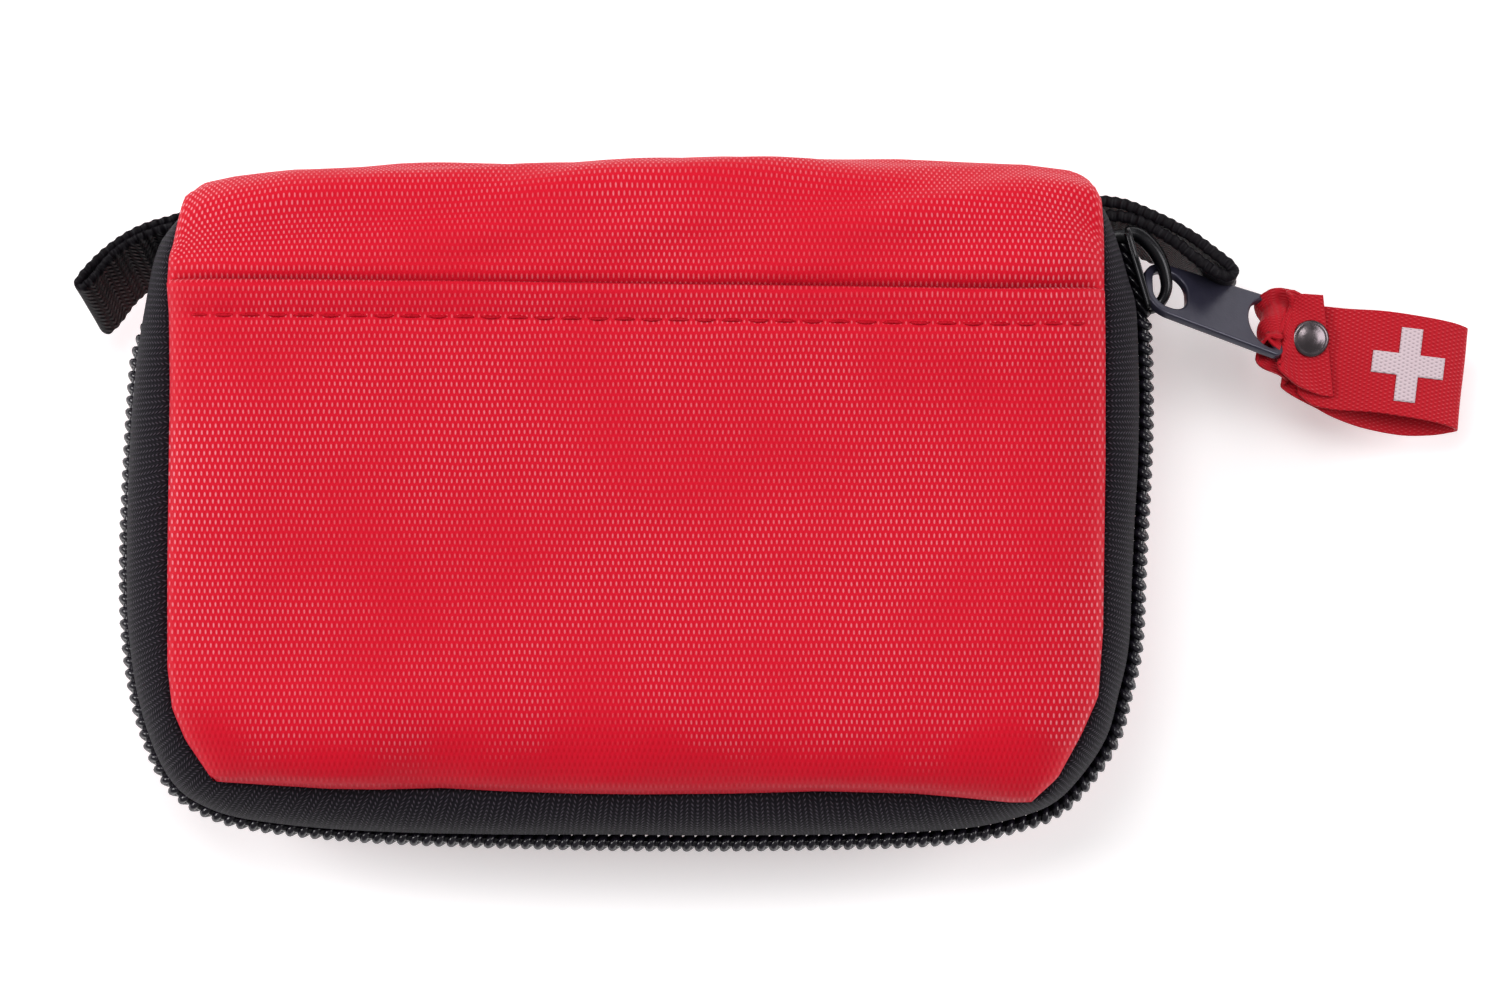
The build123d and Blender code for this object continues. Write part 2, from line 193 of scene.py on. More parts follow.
class Shader:
    """A material's node tree, with short calls for the nodes that the finishes below share."""

    def __init__(self, name, **surface):
        self.material = bpy.data.materials.new(name)
        self.material.use_nodes = True
        self.tree = self.material.node_tree
        self.out = self.tree.nodes["Principled BSDF"]
        for key, value in surface.items():
            self.out.inputs[key].default_value = value

    def add(self, kind, *inputs, **settings):
        node = self.tree.nodes.new(kind)
        for key, value in settings.items():
            setattr(node, key, value)
        for i, value in enumerate(inputs):
            self.put(node.inputs[i], value)
        return node

    def put(self, socket, value):
        if isinstance(value, bpy.types.NodeSocket):
            self.tree.links.new(value, socket)
        elif value is not None:
            socket.default_value = value

    def math(self, operation, a, b=None, c=None, clamp=False):
        return self.add("ShaderNodeMath", a, b, c, operation=operation, use_clamp=clamp).outputs[0]

    def cloth(self):
        """The two UV coordinates, in millimetres."""
        both = self.in_mm(self.add("ShaderNodeUVMap", uv_map="cloth").outputs[0])
        split = self.add("ShaderNodeSeparateXYZ", both)
        return split.outputs[0], split.outputs[1], both

    def place(self):
        """The place on the object, in millimetres."""
        return self.in_mm(self.add("ShaderNodeTexCoord").outputs["Object"])

    def in_mm(self, vector):
        """A vector in metres, in millimetres."""
        scaled = self.add("ShaderNodeVectorMath", vector, operation="SCALE")
        scaled.inputs["Scale"].default_value = 1 / MM
        return scaled.outputs[0]

    def lumps(self, where, size, detail=2.0):
        """Noise whose lumps are about size millimetres."""
        node = self.add("ShaderNodeTexNoise", where)
        node.inputs["Scale"].default_value = 1.0 / size
        node.inputs["Detail"].default_value = detail
        return node.outputs["Fac"]

    def wave(self, value, pitch, shift=0.0):
        """A cosine along value, from -1 to 1, with that pitch."""
        turned = self.math("MULTIPLY_ADD", value, 2 * math.pi / pitch, shift)
        return self.math("COSINE", turned)

    def steps(self, value, low, high, to_low=0.0, to_high=1.0):
        """Maps a value smoothly from one range to another."""
        node = self.add("ShaderNodeMapRange", interpolation_type="SMOOTHSTEP")
        for key, v in zip(range(5), (value, low, high, to_low, to_high)):
            self.put(node.inputs[key], v)
        return node.outputs[0]

    def mix(self, amount, a, b):
        node = self.add("ShaderNodeMix", data_type="RGBA")
        self.put(node.inputs["Factor"], amount)
        colours = [s for s in node.inputs if s.type == "RGBA"]
        self.put(colours[0], a)
        self.put(colours[1], b)
        return [s for s in node.outputs if s.type == "RGBA"][0]

    def bump(self, height, distance):
        """Feeds a height from 0 to 1, worth distance millimetres, to the surface."""
        node = self.add("ShaderNodeBump")
        node.inputs["Distance"].default_value = distance * MM
        self.put(node.inputs["Height"], height)
        self.put(self.out.inputs["Normal"], node.outputs[0])

    def colour(self, socket):
        self.put(self.out.inputs["Base Color"], socket)

    def rough(self, socket):
        self.put(self.out.inputs["Roughness"], socket)


SCALLOP = 15.0      # the most that the upper edge of the painted shade band along the bottom, where the sheen fades, can wander, in millimetres


def woven(name, base, light, dark, column, row, bump_mm, sheen, sheen_tint, dash=(0.25, 0.95), rough=0.5,
          light_share=0.8, spec=0.16, spec_tint=(1, 1, 1, 1), painted_sheen_bands=None):
    """Cloth with staggered short floats: light dashes on a base colour, darker in the gaps.
    The floats are the weave's own, and their paler colour is painted sheen.

    column and row are the floats' spacing in millimetres. The last argument is where the painted sheen on the
    floats fades out and is whole again going up from the lower seam, as painted shade on the band that turns
    away from the lights, and where it starts to brighten and is brightest at the sides, as painted highlight
    from the side lights.
    """
    s = Shader(name, **{"Sheen Weight": sheen, "Sheen Roughness": 0.45, "Sheen Tint": sheen_tint,
                        "Specular IOR Level": spec, "Specular Tint": spec_tint})
    x, y, both = s.cloth()
    drift = s.lumps(both, 9.0)
    drift_b = s.lumps(s.add("ShaderNodeVectorMath", both, (31.0, 17.0, 0.0), operation="ADD").outputs[0], 7.0)
    x = s.math("MULTIPLY_ADD", drift, 0.55, x)
    y = s.math("MULTIPLY_ADD", drift_b, 0.45, y)
    floats = s.math("MULTIPLY", s.wave(x, column), s.wave(y, 2 * row))
    top = s.steps(floats, dash[0], dash[1])
    gap = s.steps(floats, -0.25, -0.95)
    patchy = s.steps(s.lumps(both, 22.0, 3.0), 0.32, 0.66, 0.30, 1.0)
    fibre = s.steps(s.lumps(both, 0.35, 1.0), 0.2, 0.8, 0.6, 1.0)
    shine = s.math("MULTIPLY", s.math("MULTIPLY", top, patchy), s.math("MULTIPLY", fibre, light_share))
    body = s.mix(s.math("MULTIPLY", gap, 0.55), base, dark)
    if painted_sheen_bands:
        # Painted shade and highlight: the painted sheen on the floats fades out along the band by the lower
        # seam, which turns away from the lights, and brightens at the sides, which face the side lights.
        low, high, inner, outer = painted_sheen_bands
        wavy = s.math("MULTIPLY_ADD", s.lumps(both, 11.0, 2.0), SCALLOP, y)
        shine = s.math("MULTIPLY", shine, s.steps(wavy, low + SCALLOP / 2, high + SCALLOP / 2, 0.08, 1.0))
        side = s.steps(s.math("ABSOLUTE", x), inner, outer)
        side = s.math("MULTIPLY", side, s.steps(s.lumps(both, 26.0, 1.0), 0.35, 0.65, 0.3, 1.0))
        shine = s.math("MULTIPLY", shine, s.math("MULTIPLY_ADD", side, 0.6, 1.0), clamp=True)
    # Painted sheen: the floats take the paler colour where shine is high.
    s.colour(s.mix(shine, body, light))
    s.rough(s.steps(top, 0.0, 1.0, rough + 0.12, rough - 0.08))
    s.bump(s.math("MULTIPLY_ADD", floats, 0.5, 0.5), bump_mm)
    return s.material


def ribbed(name, base, light, column, row, bump_mm, rough):
    """Dark woven narrow goods: a twill whose slant turns back and forth, with fine fibre speckle: the raised
    threads are painted paler as painted highlight.
    """
    s = Shader(name, **{"Sheen Weight": 0.02, "Sheen Roughness": 0.5, "Specular IOR Level": 0.16})
    x, y, both = s.cloth()
    fold = s.math("PINGPONG", y, column * 2.5)
    slant = s.math("ADD", x, fold)
    rib = s.math("MULTIPLY_ADD", s.wave(slant, column), 0.5, 0.5)
    cross = s.math("MULTIPLY_ADD", s.wave(y, row), 0.5, 0.5)
    fuzz = s.lumps(both, 0.25, 2.0)
    height = s.math("MULTIPLY_ADD", s.math("MULTIPLY", rib, cross), 0.7, s.math("MULTIPLY", fuzz, 0.3))
    speck = s.steps(height, 0.40, 0.80, 0.0, 1.0)
    # Painted highlight: the raised threads take the paler colour.
    s.colour(s.mix(speck, base, light))
    s.rough(s.steps(fuzz, 0.2, 0.8, rough - 0.1, rough + 0.1))
    s.bump(height, bump_mm)
    return s.material


def elastic_knit(name, base, light, pitch, bump_mm):
    """Woven elastic: fine cords side by side, crossed by small knit ridges."""
    s = Shader(name, **{"Sheen Weight": 0.05, "Specular IOR Level": 0.16})
    where = s.place()
    split = s.add("ShaderNodeSeparateXYZ", where)
    along = s.math("ADD", split.outputs[0], split.outputs[2])
    cords = s.math("MULTIPLY_ADD", s.wave(split.outputs[1], pitch), 0.5, 0.5)
    shifted = s.math("ADD", along, s.math("MULTIPLY", cords, 0.35))
    ridges = s.math("MULTIPLY_ADD", s.wave(shifted, pitch * 0.8), 0.5, 0.5)
    height = s.math("MULTIPLY_ADD", cords, 0.6, s.math("MULTIPLY", ridges, 0.4))
    s.colour(s.mix(s.steps(height, 0.35, 0.85), base, light))
    s.rough(s.steps(s.lumps(where, 0.4), 0.2, 0.8, 0.6, 0.8))
    s.bump(height, bump_mm)
    return s.material


def painted(name, base, worn, rough, metallic=0.6):
    """Dark painted or plated metal with a fine orange peel and paler rubbed patches."""
    s = Shader(name, **{"Metallic": metallic, "Coat Weight": 0.2, "Coat Roughness": 0.25})
    where = s.place()
    patch = s.steps(s.lumps(where, 3.0, 4.0), 0.52, 0.75, 0.0, 0.6)
    s.colour(s.mix(patch, base, worn))
    s.rough(s.steps(s.lumps(where, 1.2, 3.0), 0.2, 0.8, rough - 0.06, rough + 0.08))
    s.bump(s.lumps(where, 0.3, 2.0), 0.012)
    return s.material


def plain(name, base, other, rough, lump, bump_mm, fine, **surface):
    """A moulded or paper surface with gentle colour variation and fine texture."""
    s = Shader(name, **surface)
    where = s.place()
    s.colour(s.mix(s.steps(s.lumps(where, lump, 3.0), 0.3, 0.7), base, other))
    s.rough(s.steps(s.lumps(where, lump * 0.7, 2.0), 0.2, 0.8, rough - 0.06, rough + 0.06))
    s.bump(s.lumps(where, fine, 3.0), bump_mm)
    return s.material


# The paler float colours of the red cloths are painted sheen. On the oxford, the last argument fades that
# sheen out along the bottom as painted shade and brightens it at the sides as painted highlight. The paler
# speckle of the tape and webbing is painted highlight on their raised threads.
red_cloth = woven("red_oxford", (0.59, 0.007, 0.022, 1), (0.72, 0.21, 0.24, 1), (0.42, 0.002, 0.008, 1),
                  0.667, 0.856, 0.07, 0.04, (1.0, 0.20, 0.32, 1), dash=(0.30, 0.85), light_share=0.95,
                  rough=0.50, spec=0.14, spec_tint=(1.0, 0.42, 0.50, 1), painted_sheen_bands=(-31.5, -26.0, 47.0, 57.0))
ribbon_cloth = woven("red_ribbon", (0.46, 0.006, 0.016, 1), (0.76, 0.13, 0.15, 1), (0.30, 0.002, 0.007, 1),
                     0.50, 0.55, 0.07, 0.05, (1.0, 0.6, 0.6, 1), dash=(0.35, 1.0), light_share=0.6)
tape_cloth = ribbed("zip_tape_black", (0.003, 0.002, 0.005, 1), (0.065, 0.054, 0.072, 1), 0.52, 0.70, 0.22,
                    0.7)
webbing_cloth = ribbed("webbing_black", (0.003, 0.002, 0.004, 1), (0.012, 0.011, 0.014, 1), 0.8, 1.0, 0.16,
                       0.55)
coil_plastic = plain("coil_black", (0.006, 0.005, 0.009, 1), (0.012, 0.010, 0.016, 1), 0.20, 1.0, 0.01, 0.3)
thread_red = plain("thread_red", (0.36, 0.002, 0.008, 1), (0.50, 0.006, 0.02, 1), 0.7, 0.3, 0.02, 0.15,
                   **{"Specular IOR Level": 0.08})
slider_paint = painted("slider_black", (0.006, 0.006, 0.008, 1), (0.016, 0.014, 0.020, 1), 0.26)
tab_paint = painted("tab_slate", (0.030, 0.029, 0.050, 1), (0.040, 0.038, 0.062, 1), 0.36, metallic=0.35)
rivet_metal = painted("rivet_gunmetal", (0.12, 0.10, 0.11, 1), (0.24, 0.20, 0.20, 1), 0.26, metallic=1.0)


# -------------------------------------------------------------- pouch surface

# The zip's centre line and the red edge beside it, round three sides of the pouch from its upper right
# corner to its upper left one. Each is a smooth curve through these places, in millimetres.
ZIP_LINE = [
    (57.3, 38.6), (59.1, 37.9), (60.9, 33.8), (62.4, 28.8), (63.5, 23.8), (63.8, 10.1), (63.0, -7.1),
    (62.5, -17.6), (61.2, -23.8), (59.7, -29.2), (56.6, -34.1), (53.0, -37.8), (48.4, -39.8), (40.5, -41.4),
    (27.0, -42.1), (0.2, -42.3),
    (-30.0, -41.5), (-46.9, -40.0), (-54.4, -38.0), (-59.0, -34.3), (-62.2, -26.7), (-63.9, -17.1),
    (-64.2, -6.1), (-63.6, 8.1), (-62.8, 19.1), (-61.8, 26.2), (-60.8, 31.2), (-59.1, 35.5), (-57.5, 37.9),
]
SEAM_LINE = [
    (56.6, 38.4), (57.8, 36.0), (57.9, 29.0), (58.0, 20.0), (58.0, 6.0), (57.8, -8.0), (57.6, -17.0),
    (57.0, -23.7), (54.9, -28.6), (52.0, -33.7), (49.0, -36.2), (40.6, -35.6), (23.0, -34.8), (0.0, -35.2),
    (-16.8, -34.8), (-32.5, -34.7),
    (-46.6, -34.1), (-52.3, -33.6), (-56.0, -29.1), (-57.6, -25.2), (-58.2, -20.0), (-58.2, -8.0),
    (-57.9, 6.0), (-57.9, 15.0), (-58.1, 25.6), (-58.2, 30.0), (-57.5, 33.2), (-56.6, 37.6),
]
FOLD_RADIUS = 8.5 * MM
SPINE_Y = 42.9 * MM
FRONT_TOP_Y = SPINE_Y - FOLD_RADIUS
DROP = top_z - seam_z
RISE = 13 * MM                        # how far in from the seams the pouch reaches its full thickness
SHOULDER = (29 * MM, 41 * MM)         # where the front starts and ends bending down towards the spine
FIRST_HALF_WIDTH = 57 * MM            # a first guess, which each sheet then works out from its outline


def bottom_edge(x):
    """How low the red panel's lower edge is at x, in metres."""
    along = [-52.8, -46.6, -38.6, -32.5, -24.5, -16.8, -8, 0, 12, 22.9, 34.7, 40.6, 46.5, 50]
    level = [-33.7, -34.1, -34.6, -34.7, -34.5, -34.9, -35.2, -35.3, -35.2, -34.9, -35.2, -35.7, -36.3, -36.3]
    return np.interp(x / MM, along, level) * MM


def half_width(y, side):
    """How far out the red panel's side edge is at y; side is -1 or 1."""
    left = ([-34, -29, -25.2, -20, -8, 15, 24, 28, 31, 33, 36, 38, 39],
            [52.6, 56.0, 57.6, 58.2, 58.2, 57.9, 58.0, 58.3, 58.1, 57.6, 57.0, 56.5, 56.1])
    right = ([-36.5, -33.7, -28.4, -23.7, -15.4, -8, 6, 20, 29, 33, 36, 38.5, 40.5],
             [49.0, 52.1, 55.0, 57.1, 57.7, 57.8, 58.0, 58.0, 57.9, 57.9, 57.8, 57.6, 57.2])
    at, width = left if side < 0 else right
    return np.interp(y / MM, at, width) * MM


def top_edge(x):
    """How far back the spine reaches at x: nearly straight, and rounded off at its two ends."""
    along = [-57.6, -56.8, -56.3, -54, -50.4, -43, -29.7, -16, 0, 32.8, 48.5, 54, 56.5, 57.3, 58]
    level = [36.8, 38.0, 38.8, 39.9, 40.7, 41.6, 42.2, 42.4, 42.5, 42.5, 42.1, 41.3, 40.4, 39.4, 37.5]
    return np.interp(x / MM, along, level) * MM


def pillow(depth, reach):
    """How full the pouch is at a depth in from an edge, 0 at the edge and 1 past reach."""
    t = np.clip(depth / reach, 0, 1)
    return np.sqrt(np.clip(1 - (1 - t) ** 2.4, 0, 1))


def across(columns):
    """Shares of the half width from -1 to 1, closer together at the sides."""
    u = np.linspace(-1, 1, columns)
    return np.sign(u) * (1 - (1 - np.abs(u)) ** 1.15)


def pocket_mouth(x):
    """The slip pocket's mouth, a shallow curve that falls to the right."""
    return np.interp(x / MM, [-58, -40, -20, 0, 25, 45, 58], [27.9, 27.8, 27.6, 27.3, 27.0, 26.7, 26.8]) * MM


def puckers(x, y, low_depth, side_depth, seed):
    """Folds that fan out from the seams where the cloth is gathered into them."""
    place = np.stack([x, y, np.zeros_like(x)], axis=-1)
    low = np.exp(-low_depth / (6.5 * MM)) * 2.5 * waves(place, (0.0115, 0.040, 1), seed + 1.3)
    low += np.exp(-low_depth / (2.6 * MM)) * 0.60 * waves(place, (0.0036, 0.020, 1), seed + 4.1)
    side = np.exp(-side_depth / (3.5 * MM)) * 0.26 * waves(place, (0.030, 0.0052, 1), seed + 2.3)
    return (low + side) * MM


def cloth_points(columns, profile, lift=0.0, wrinkle=1.0, seed=0.0, under_pocket=0.0):
    """A grid on the front half's skin.

    profile is the share of the way down the cloth, from 0 at the middle of the spine, over the fold and down
    the front, to 1 at the bottom seam. lift moves the sheet out, wrinkle scales its folds, and under_pocket
    sinks what the slip pocket covers. Returns the points and the flat cloth coordinates, in metres.
    """
    spine_run = top_z - FOLD_RADIUS - mid_z
    fold_run = FOLD_RADIUS * math.pi / 2
    front_run = FRONT_TOP_Y - bottom_edge(0.0)
    total = spine_run + fold_run + front_run
    s = np.asarray(profile)[:, None] * total
    s, u = np.broadcast_arrays(s, across(columns)[None, :])
    fold = np.clip((s - spine_run) / fold_run, 0, 1)
    turn = fold * math.pi / 2
    share = np.clip((s - spine_run - fold_run) / front_run, 0, 1)
    y = np.where(s < spine_run, SPINE_Y, SPINE_Y - FOLD_RADIUS * (1 - np.cos(turn)))
    z = np.where(s < spine_run, mid_z + s, top_z - FOLD_RADIUS + FOLD_RADIUS * np.sin(turn))
    x = u * FIRST_HALF_WIDTH
    for _ in range(5):
        y_here = np.where(share > 0, FRONT_TOP_Y + (bottom_edge(x) - FRONT_TOP_Y) * share, y)
        y_here = y_here - (SPINE_Y - top_edge(x)) * ramp(y_here, *SHOULDER)
        width = np.where(u < 0, half_width(y_here, -1), half_width(y_here, 1))
        x = u * width
    y = y_here
    z = np.where(share > 0, top_z, z)
    away_y, away_z = np.cos(turn), np.sin(turn)
    side_depth = width - np.abs(x)
    low_depth = np.where(share > 0, y - bottom_edge(x), 1.0)
    full = pillow(side_depth, RISE) * pillow(low_depth, RISE * 0.95)
    drop = (DROP * away_z + 1.2 * MM * away_y * (1 - fold)) * (1 - full)
    drop += 1.0 * MM * ramp(y, *SHOULDER) * away_z
    flat = np.stack([x, -s, np.zeros_like(s)], axis=-1)
    bulge = 0.5 * MM * waves(flat, (0.045, 0.030, 1), seed + 3.1)
    above = ramp(y, 0.0275, 0.031)
    slanted = np.stack([x + 0.9 * s, -s - 0.10 * x, np.zeros_like(s)], axis=-1)
    bulge += above * (2.0 * MM * waves(slanted, (0.036, 0.0080, 1), seed + 8.4)
                      + 0.62 * MM * waves(slanted, (0.015, 0.0045, 1), seed + 9.9))
    bulge += 0.16 * MM * waves(flat, (0.016, 0.012, 1), seed + 5.7)
    bulge -= 1.9 * MM * np.exp(-(((y - pocket_mouth(x) + 0.2 * MM) / (1.2 * MM)) ** 2)) * (s > spine_run)
    bulge += puckers(x, y, low_depth, side_depth, seed)
    bulge -= under_pocket * ramp(pocket_mouth(x) - y, 0.001, 0.006) * (share > 0)
    settle = ramp(side_depth, 0, 2 * MM) * ramp(low_depth, 0, 1.2 * MM) * ramp(s, 0.002, 0.006)
    out = lift - drop + bulge * wrinkle * settle
    points = np.stack([x, y + away_y * (out + 0.85 * drop), z + away_z * out], axis=-1)
    return points, np.stack([x, spine_run + fold_run + FRONT_TOP_Y - s], axis=-1)


def add_edge(points, flat, inward, down):
    """Turns the sheet's side and bottom edges under in two steps, so that the edge is a tight roll."""
    turns = ((0.08 * inward, 0.3 * down), (inward, 0.7 * down))
    step_uv = 0.5 * MM
    for step_in, step_down in turns:
        drop = np.array([0, 0, step_down])
        left = points[:, :1] + [step_in, 0, 0] - drop
        right = points[:, -1:] - [step_in, 0, 0] - drop
        points = np.concatenate([left, points, right], axis=1)
        flat = np.concatenate([flat[:, :1] - [step_uv, 0], flat, flat[:, -1:] + [step_uv, 0]], axis=1)
    for step_in, step_down in turns:
        low = points[-1:] + [0, step_in, 0] - [0, 0, step_down]
        points = np.concatenate([points, low], axis=0)
        flat = np.concatenate([flat, flat[-1:] - [0, step_uv]], axis=0)
    return points, flat


def mirrored(points):
    """The same points in the rear half."""
    out = points.copy()
    out[..., 2] = top_z - out[..., 2]
    return out


def make_skin(name, nodes, body, rear, fold_start, fold_end, **shape):
    """One half's red cloth: one sheet from the middle of the spine to the bottom seam."""
    points, flat = cloth_points(150, np.linspace(0, 1, 118), **shape)
    points, flat = add_edge(points, flat, 0.8 * MM, 0.9 * MM)
    if rear:
        points = mirrored(points)
        points[..., 2] = np.maximum(points[..., 2], 0.4 * MM)
    cloth = grid_object(name, points, red_cloth, flat, flip=rear)
    thicken(cloth, 0.5)
    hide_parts(*nodes)
    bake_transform(cloth)


make_skin("front_cloth", ["front_panel"], "cover", False, (0, SPINE_Y, top_z - FOLD_RADIUS - 0.002),
          (0, FRONT_TOP_Y - 0.002, top_z), under_pocket=1.6 * MM)
make_skin("rear_cloth", ["rear_panel", "spine_panel"], "rear_half", True, (0, SPINE_Y, FOLD_RADIUS + 0.002),
          (0, FRONT_TOP_Y - 0.002, 0), wrinkle=0.6, seed=20.0)


# ----------------------------------------------------------------- slip pocket

HEM = 4.0 * MM


def make_pocket():
    """The slip pocket: a second layer with a folded hem that stands a little off the panel."""
    u, share = np.meshgrid(across(150), np.linspace(0, 1, 84))
    x = u * FIRST_HALF_WIDTH
    for _ in range(3):
        y = pocket_mouth(x) + (bottom_edge(x) - 0.25 * MM - pocket_mouth(x)) * share
        width = np.where(u < 0, half_width(y, -1), half_width(y, 1)) + 0.1 * MM
        x = u * width
    depth = pocket_mouth(x) - y
    low_depth = y - bottom_edge(x) + 0.25 * MM
    side_depth = width - np.abs(x)
    full = pillow(side_depth, RISE) * pillow(low_depth, RISE * 0.95)
    z = top_z - DROP * (1 - full)
    flat = np.stack([x, y, np.zeros_like(x)], axis=-1)
    bulge = 1.0 * MM * waves(flat, (0.042, 0.026, 1), 13.1)
    bulge += 0.24 * MM * waves(flat, (0.016, 0.009, 1), 15.7)
    bulge += puckers(x, y, low_depth, side_depth, 0.0)
    stitch = np.exp(-(((depth - HEM) / (0.8 * MM)) ** 2))
    bulge -= 0.34 * MM * stitch * (1 + 0.6 * np.cos(2 * math.pi * x / (3.4 * MM)))
    mouth = np.exp(-depth / (3.2 * MM))
    gape = 0.55 * MM + 0.20 * MM * waves(flat, (0.018, 0.02, 1), 17.3)
    bulge += mouth * gape * ramp(side_depth, 0, 6 * MM)
    settle = ramp(side_depth, 0, 1.6 * MM) * ramp(low_depth, 0, 1.0 * MM)
    lift = 0.75 * MM + bulge * settle
    points = np.stack([x, y, z + lift], axis=-1)
    cloth_uv = np.stack([x, y], axis=-1)
    fold = points[:1] + np.array([0, 0.12, -0.35]) * MM
    under = points[:1] + np.array([0, -0.6, -0.6]) * MM
    points = np.concatenate([under, fold, points], axis=0)
    cloth_uv = np.concatenate([cloth_uv[:1] + [0, 1.0 * MM], cloth_uv[:1] + [0, 0.4 * MM], cloth_uv], axis=0)
    points, cloth_uv = add_edge(points, cloth_uv, 0.9 * MM, 1.2 * MM)
    pocket = grid_object("slip_pocket_cloth", points, red_cloth, cloth_uv)
    thicken(pocket, 0.45)
    stands_for(pocket, "slip_pocket", "cover")
    return points[2:-2, 2:-2]


pocket_points = make_pocket()


def make_hem_stitches():
    """The line of stitches that holds the pocket's hem, each one a thread bowed up out of the cloth."""
    pitch, length, radius, raised, wander = (v * MM for v in (3.4, 2.5, 0.24, 0.38, 0.1))
    line = []
    for c in range(4, pocket_points.shape[1] - 4):
        column = pocket_points[:, c]
        hem_y = column[0, 1] - HEM
        line.append([np.interp(-hem_y, -column[:, 1], column[:, k]) for k in range(3)])
    line = np.array(line) + [0, 0, raised]
    run = length_of(line)
    bow = np.sin(np.linspace(0, math.pi, 7))
    parts = []
    for i in range(int(run[-1] / pitch)):
        thread = read_at((i + 0.2) * pitch + np.linspace(0, length, 7), run, line)
        thread[:, 2] += bow * radius * 1.1 - radius * 0.35
        thread[:, 1] += wander * (0.5 - bow) * (1 if i % 2 else -1)
        parts.append(tube_mesh(thread, radius * (0.75 + 0.25 * bow), 6))
    stitches = new_object("hem_stitches", *joined(parts), thread_red)
    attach(stitches, "cover")


make_hem_stitches()


# ------------------------------------------------------------------------ zip

ZIP_COUNT = 420
zip_line = path_through(ZIP_LINE, ZIP_COUNT) * MM
seam_line = path_through(SEAM_LINE, ZIP_COUNT) * MM


def outward(line):
    """Unit normals of a flat line that runs from upper right round the bottom to upper left."""
    ahead = unit(np.gradient(line, axis=0))
    return np.stack([-ahead[:, 1], ahead[:, 0]], axis=1)


zip_out = outward(zip_line)
COIL_ROW = 2.55 * MM
RIM_Z = mid_z + 0.3 * MM + COIL_ROW


def make_tape(name, node, body, flip):
    """A zip tape: from a groove beside the red edge, over a soft roll, and down to its rim beside the coil."""
    share = np.linspace(0, 1, ZIP_COUNT)
    reach = np.interp(share, [0, 0.12, 0.3, 0.5, 0.64, 0.8, 0.9, 0.93, 0.96, 0.98, 0.99, 1],
                      [1.25, 1.3, 1.3, 1.5, 0.9, 0.5, 0.3, 0.4, 0.6, 0.6, 1.2, 1.8]) * MM
    rim = zip_line - zip_out * reach[:, None]
    fade = ramp(np.minimum(share, 1 - share), 0.0, 0.035)
    turn = np.concatenate([[-0.55, -0.3, -0.12], np.linspace(0, 1.0, 17), [1.06, 1.12]])
    rows = []
    for t in turn:
        a = np.clip(t, 0, 1) * math.pi / 2
        out = min(t, 0) + math.sin(a) ** 1.15 - max(t - 1, 0) * 2.2
        up = math.cos(a) ** 0.85 + min(t, 0) * 0.9 - max(t - 1, 0) * 1.5
        groove = -0.11 * math.exp(-((t / 0.10) ** 2))
        flat = seam_line + (rim - seam_line) * out
        z = RIM_Z + (seam_z - 0.6 * MM - RIM_Z) * (up + groove) * (0.6 + 0.4 * fade)
        rows.append(np.column_stack([flat, z]))
    points = np.stack(rows, axis=1)
    ripple = 0.16 * MM * waves(points, (0.009, 0.009, 0.03), 30.0)
    points[..., 2] += ripple
    points[..., :2] += zip_out[:, None] * ripple[..., None] * 0.5
    v = length_of(points[ZIP_COUNT // 2])
    flat_uv = np.stack(np.meshgrid(v, length_of(zip_line)), axis=-1)
    if flip:
        points = mirrored(points)
    tape = grid_object(name, points, tape_cloth, flat_uv, flip=flip)
    thicken(tape, 0.5)
    stands_for(tape, node, body)


make_tape("front_zip_tape", "front_tape", "cover", False)
make_tape("rear_zip_tape", "rear_tape", "rear_half", True)


def make_coil(name, node, body, level, hand, first, last):
    """One row of the coil: a nylon strand wound round a core cord, a turn for each tooth."""
    tucked = 2.1 * MM * ramp(np.linspace(0, 1, ZIP_COUNT), 0.92, 0.965)
    line = (zip_line - zip_out * tucked[:, None])[first:last]
    out = zip_out[first:last]
    run = length_of(line)
    pitch = 1.56 * MM
    at = np.linspace(0, run[-1], int(run[-1] / pitch * 16))
    centre = read_at(at, run, line)
    normal = unit(read_at(at, run, out))
    angle = hand * 2 * math.pi * at / pitch
    wide, tall = 0.64 * MM, 0.80 * MM
    lean = 0.62 * MM * np.cos(angle)
    ahead = unit(np.gradient(centre, axis=0))
    flat = centre + normal * (wide * np.cos(angle))[:, None] + ahead * lean[:, None]
    strand = np.column_stack([flat, level + tall * np.sin(angle)])
    core_line = np.column_stack([centre[::7], np.full(len(centre[::7]), level)])
    parts = [tube_mesh(strand, 0.52 * MM, 9), tube_mesh(core_line, 0.62 * MM, 8)]
    coil = new_object(name, *joined(parts), coil_plastic)
    stands_for(coil, node, body)


slider_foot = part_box("slider_body")[0][1]
below_slider = int(np.argmax(zip_line[:, 1] < slider_foot - 0.4 * MM))
row_level = 0.3 * MM + COIL_ROW / 2
make_coil("front_coil_turns", "front_coil", "cover", mid_z + row_level, 1, below_slider, ZIP_COUNT - 8)
make_coil("rear_coil_turns", "rear_coil", "rear_half", mid_z - row_level, -1, 10, ZIP_COUNT - 8)


# ---------------------------------------------------------------- webbing loops

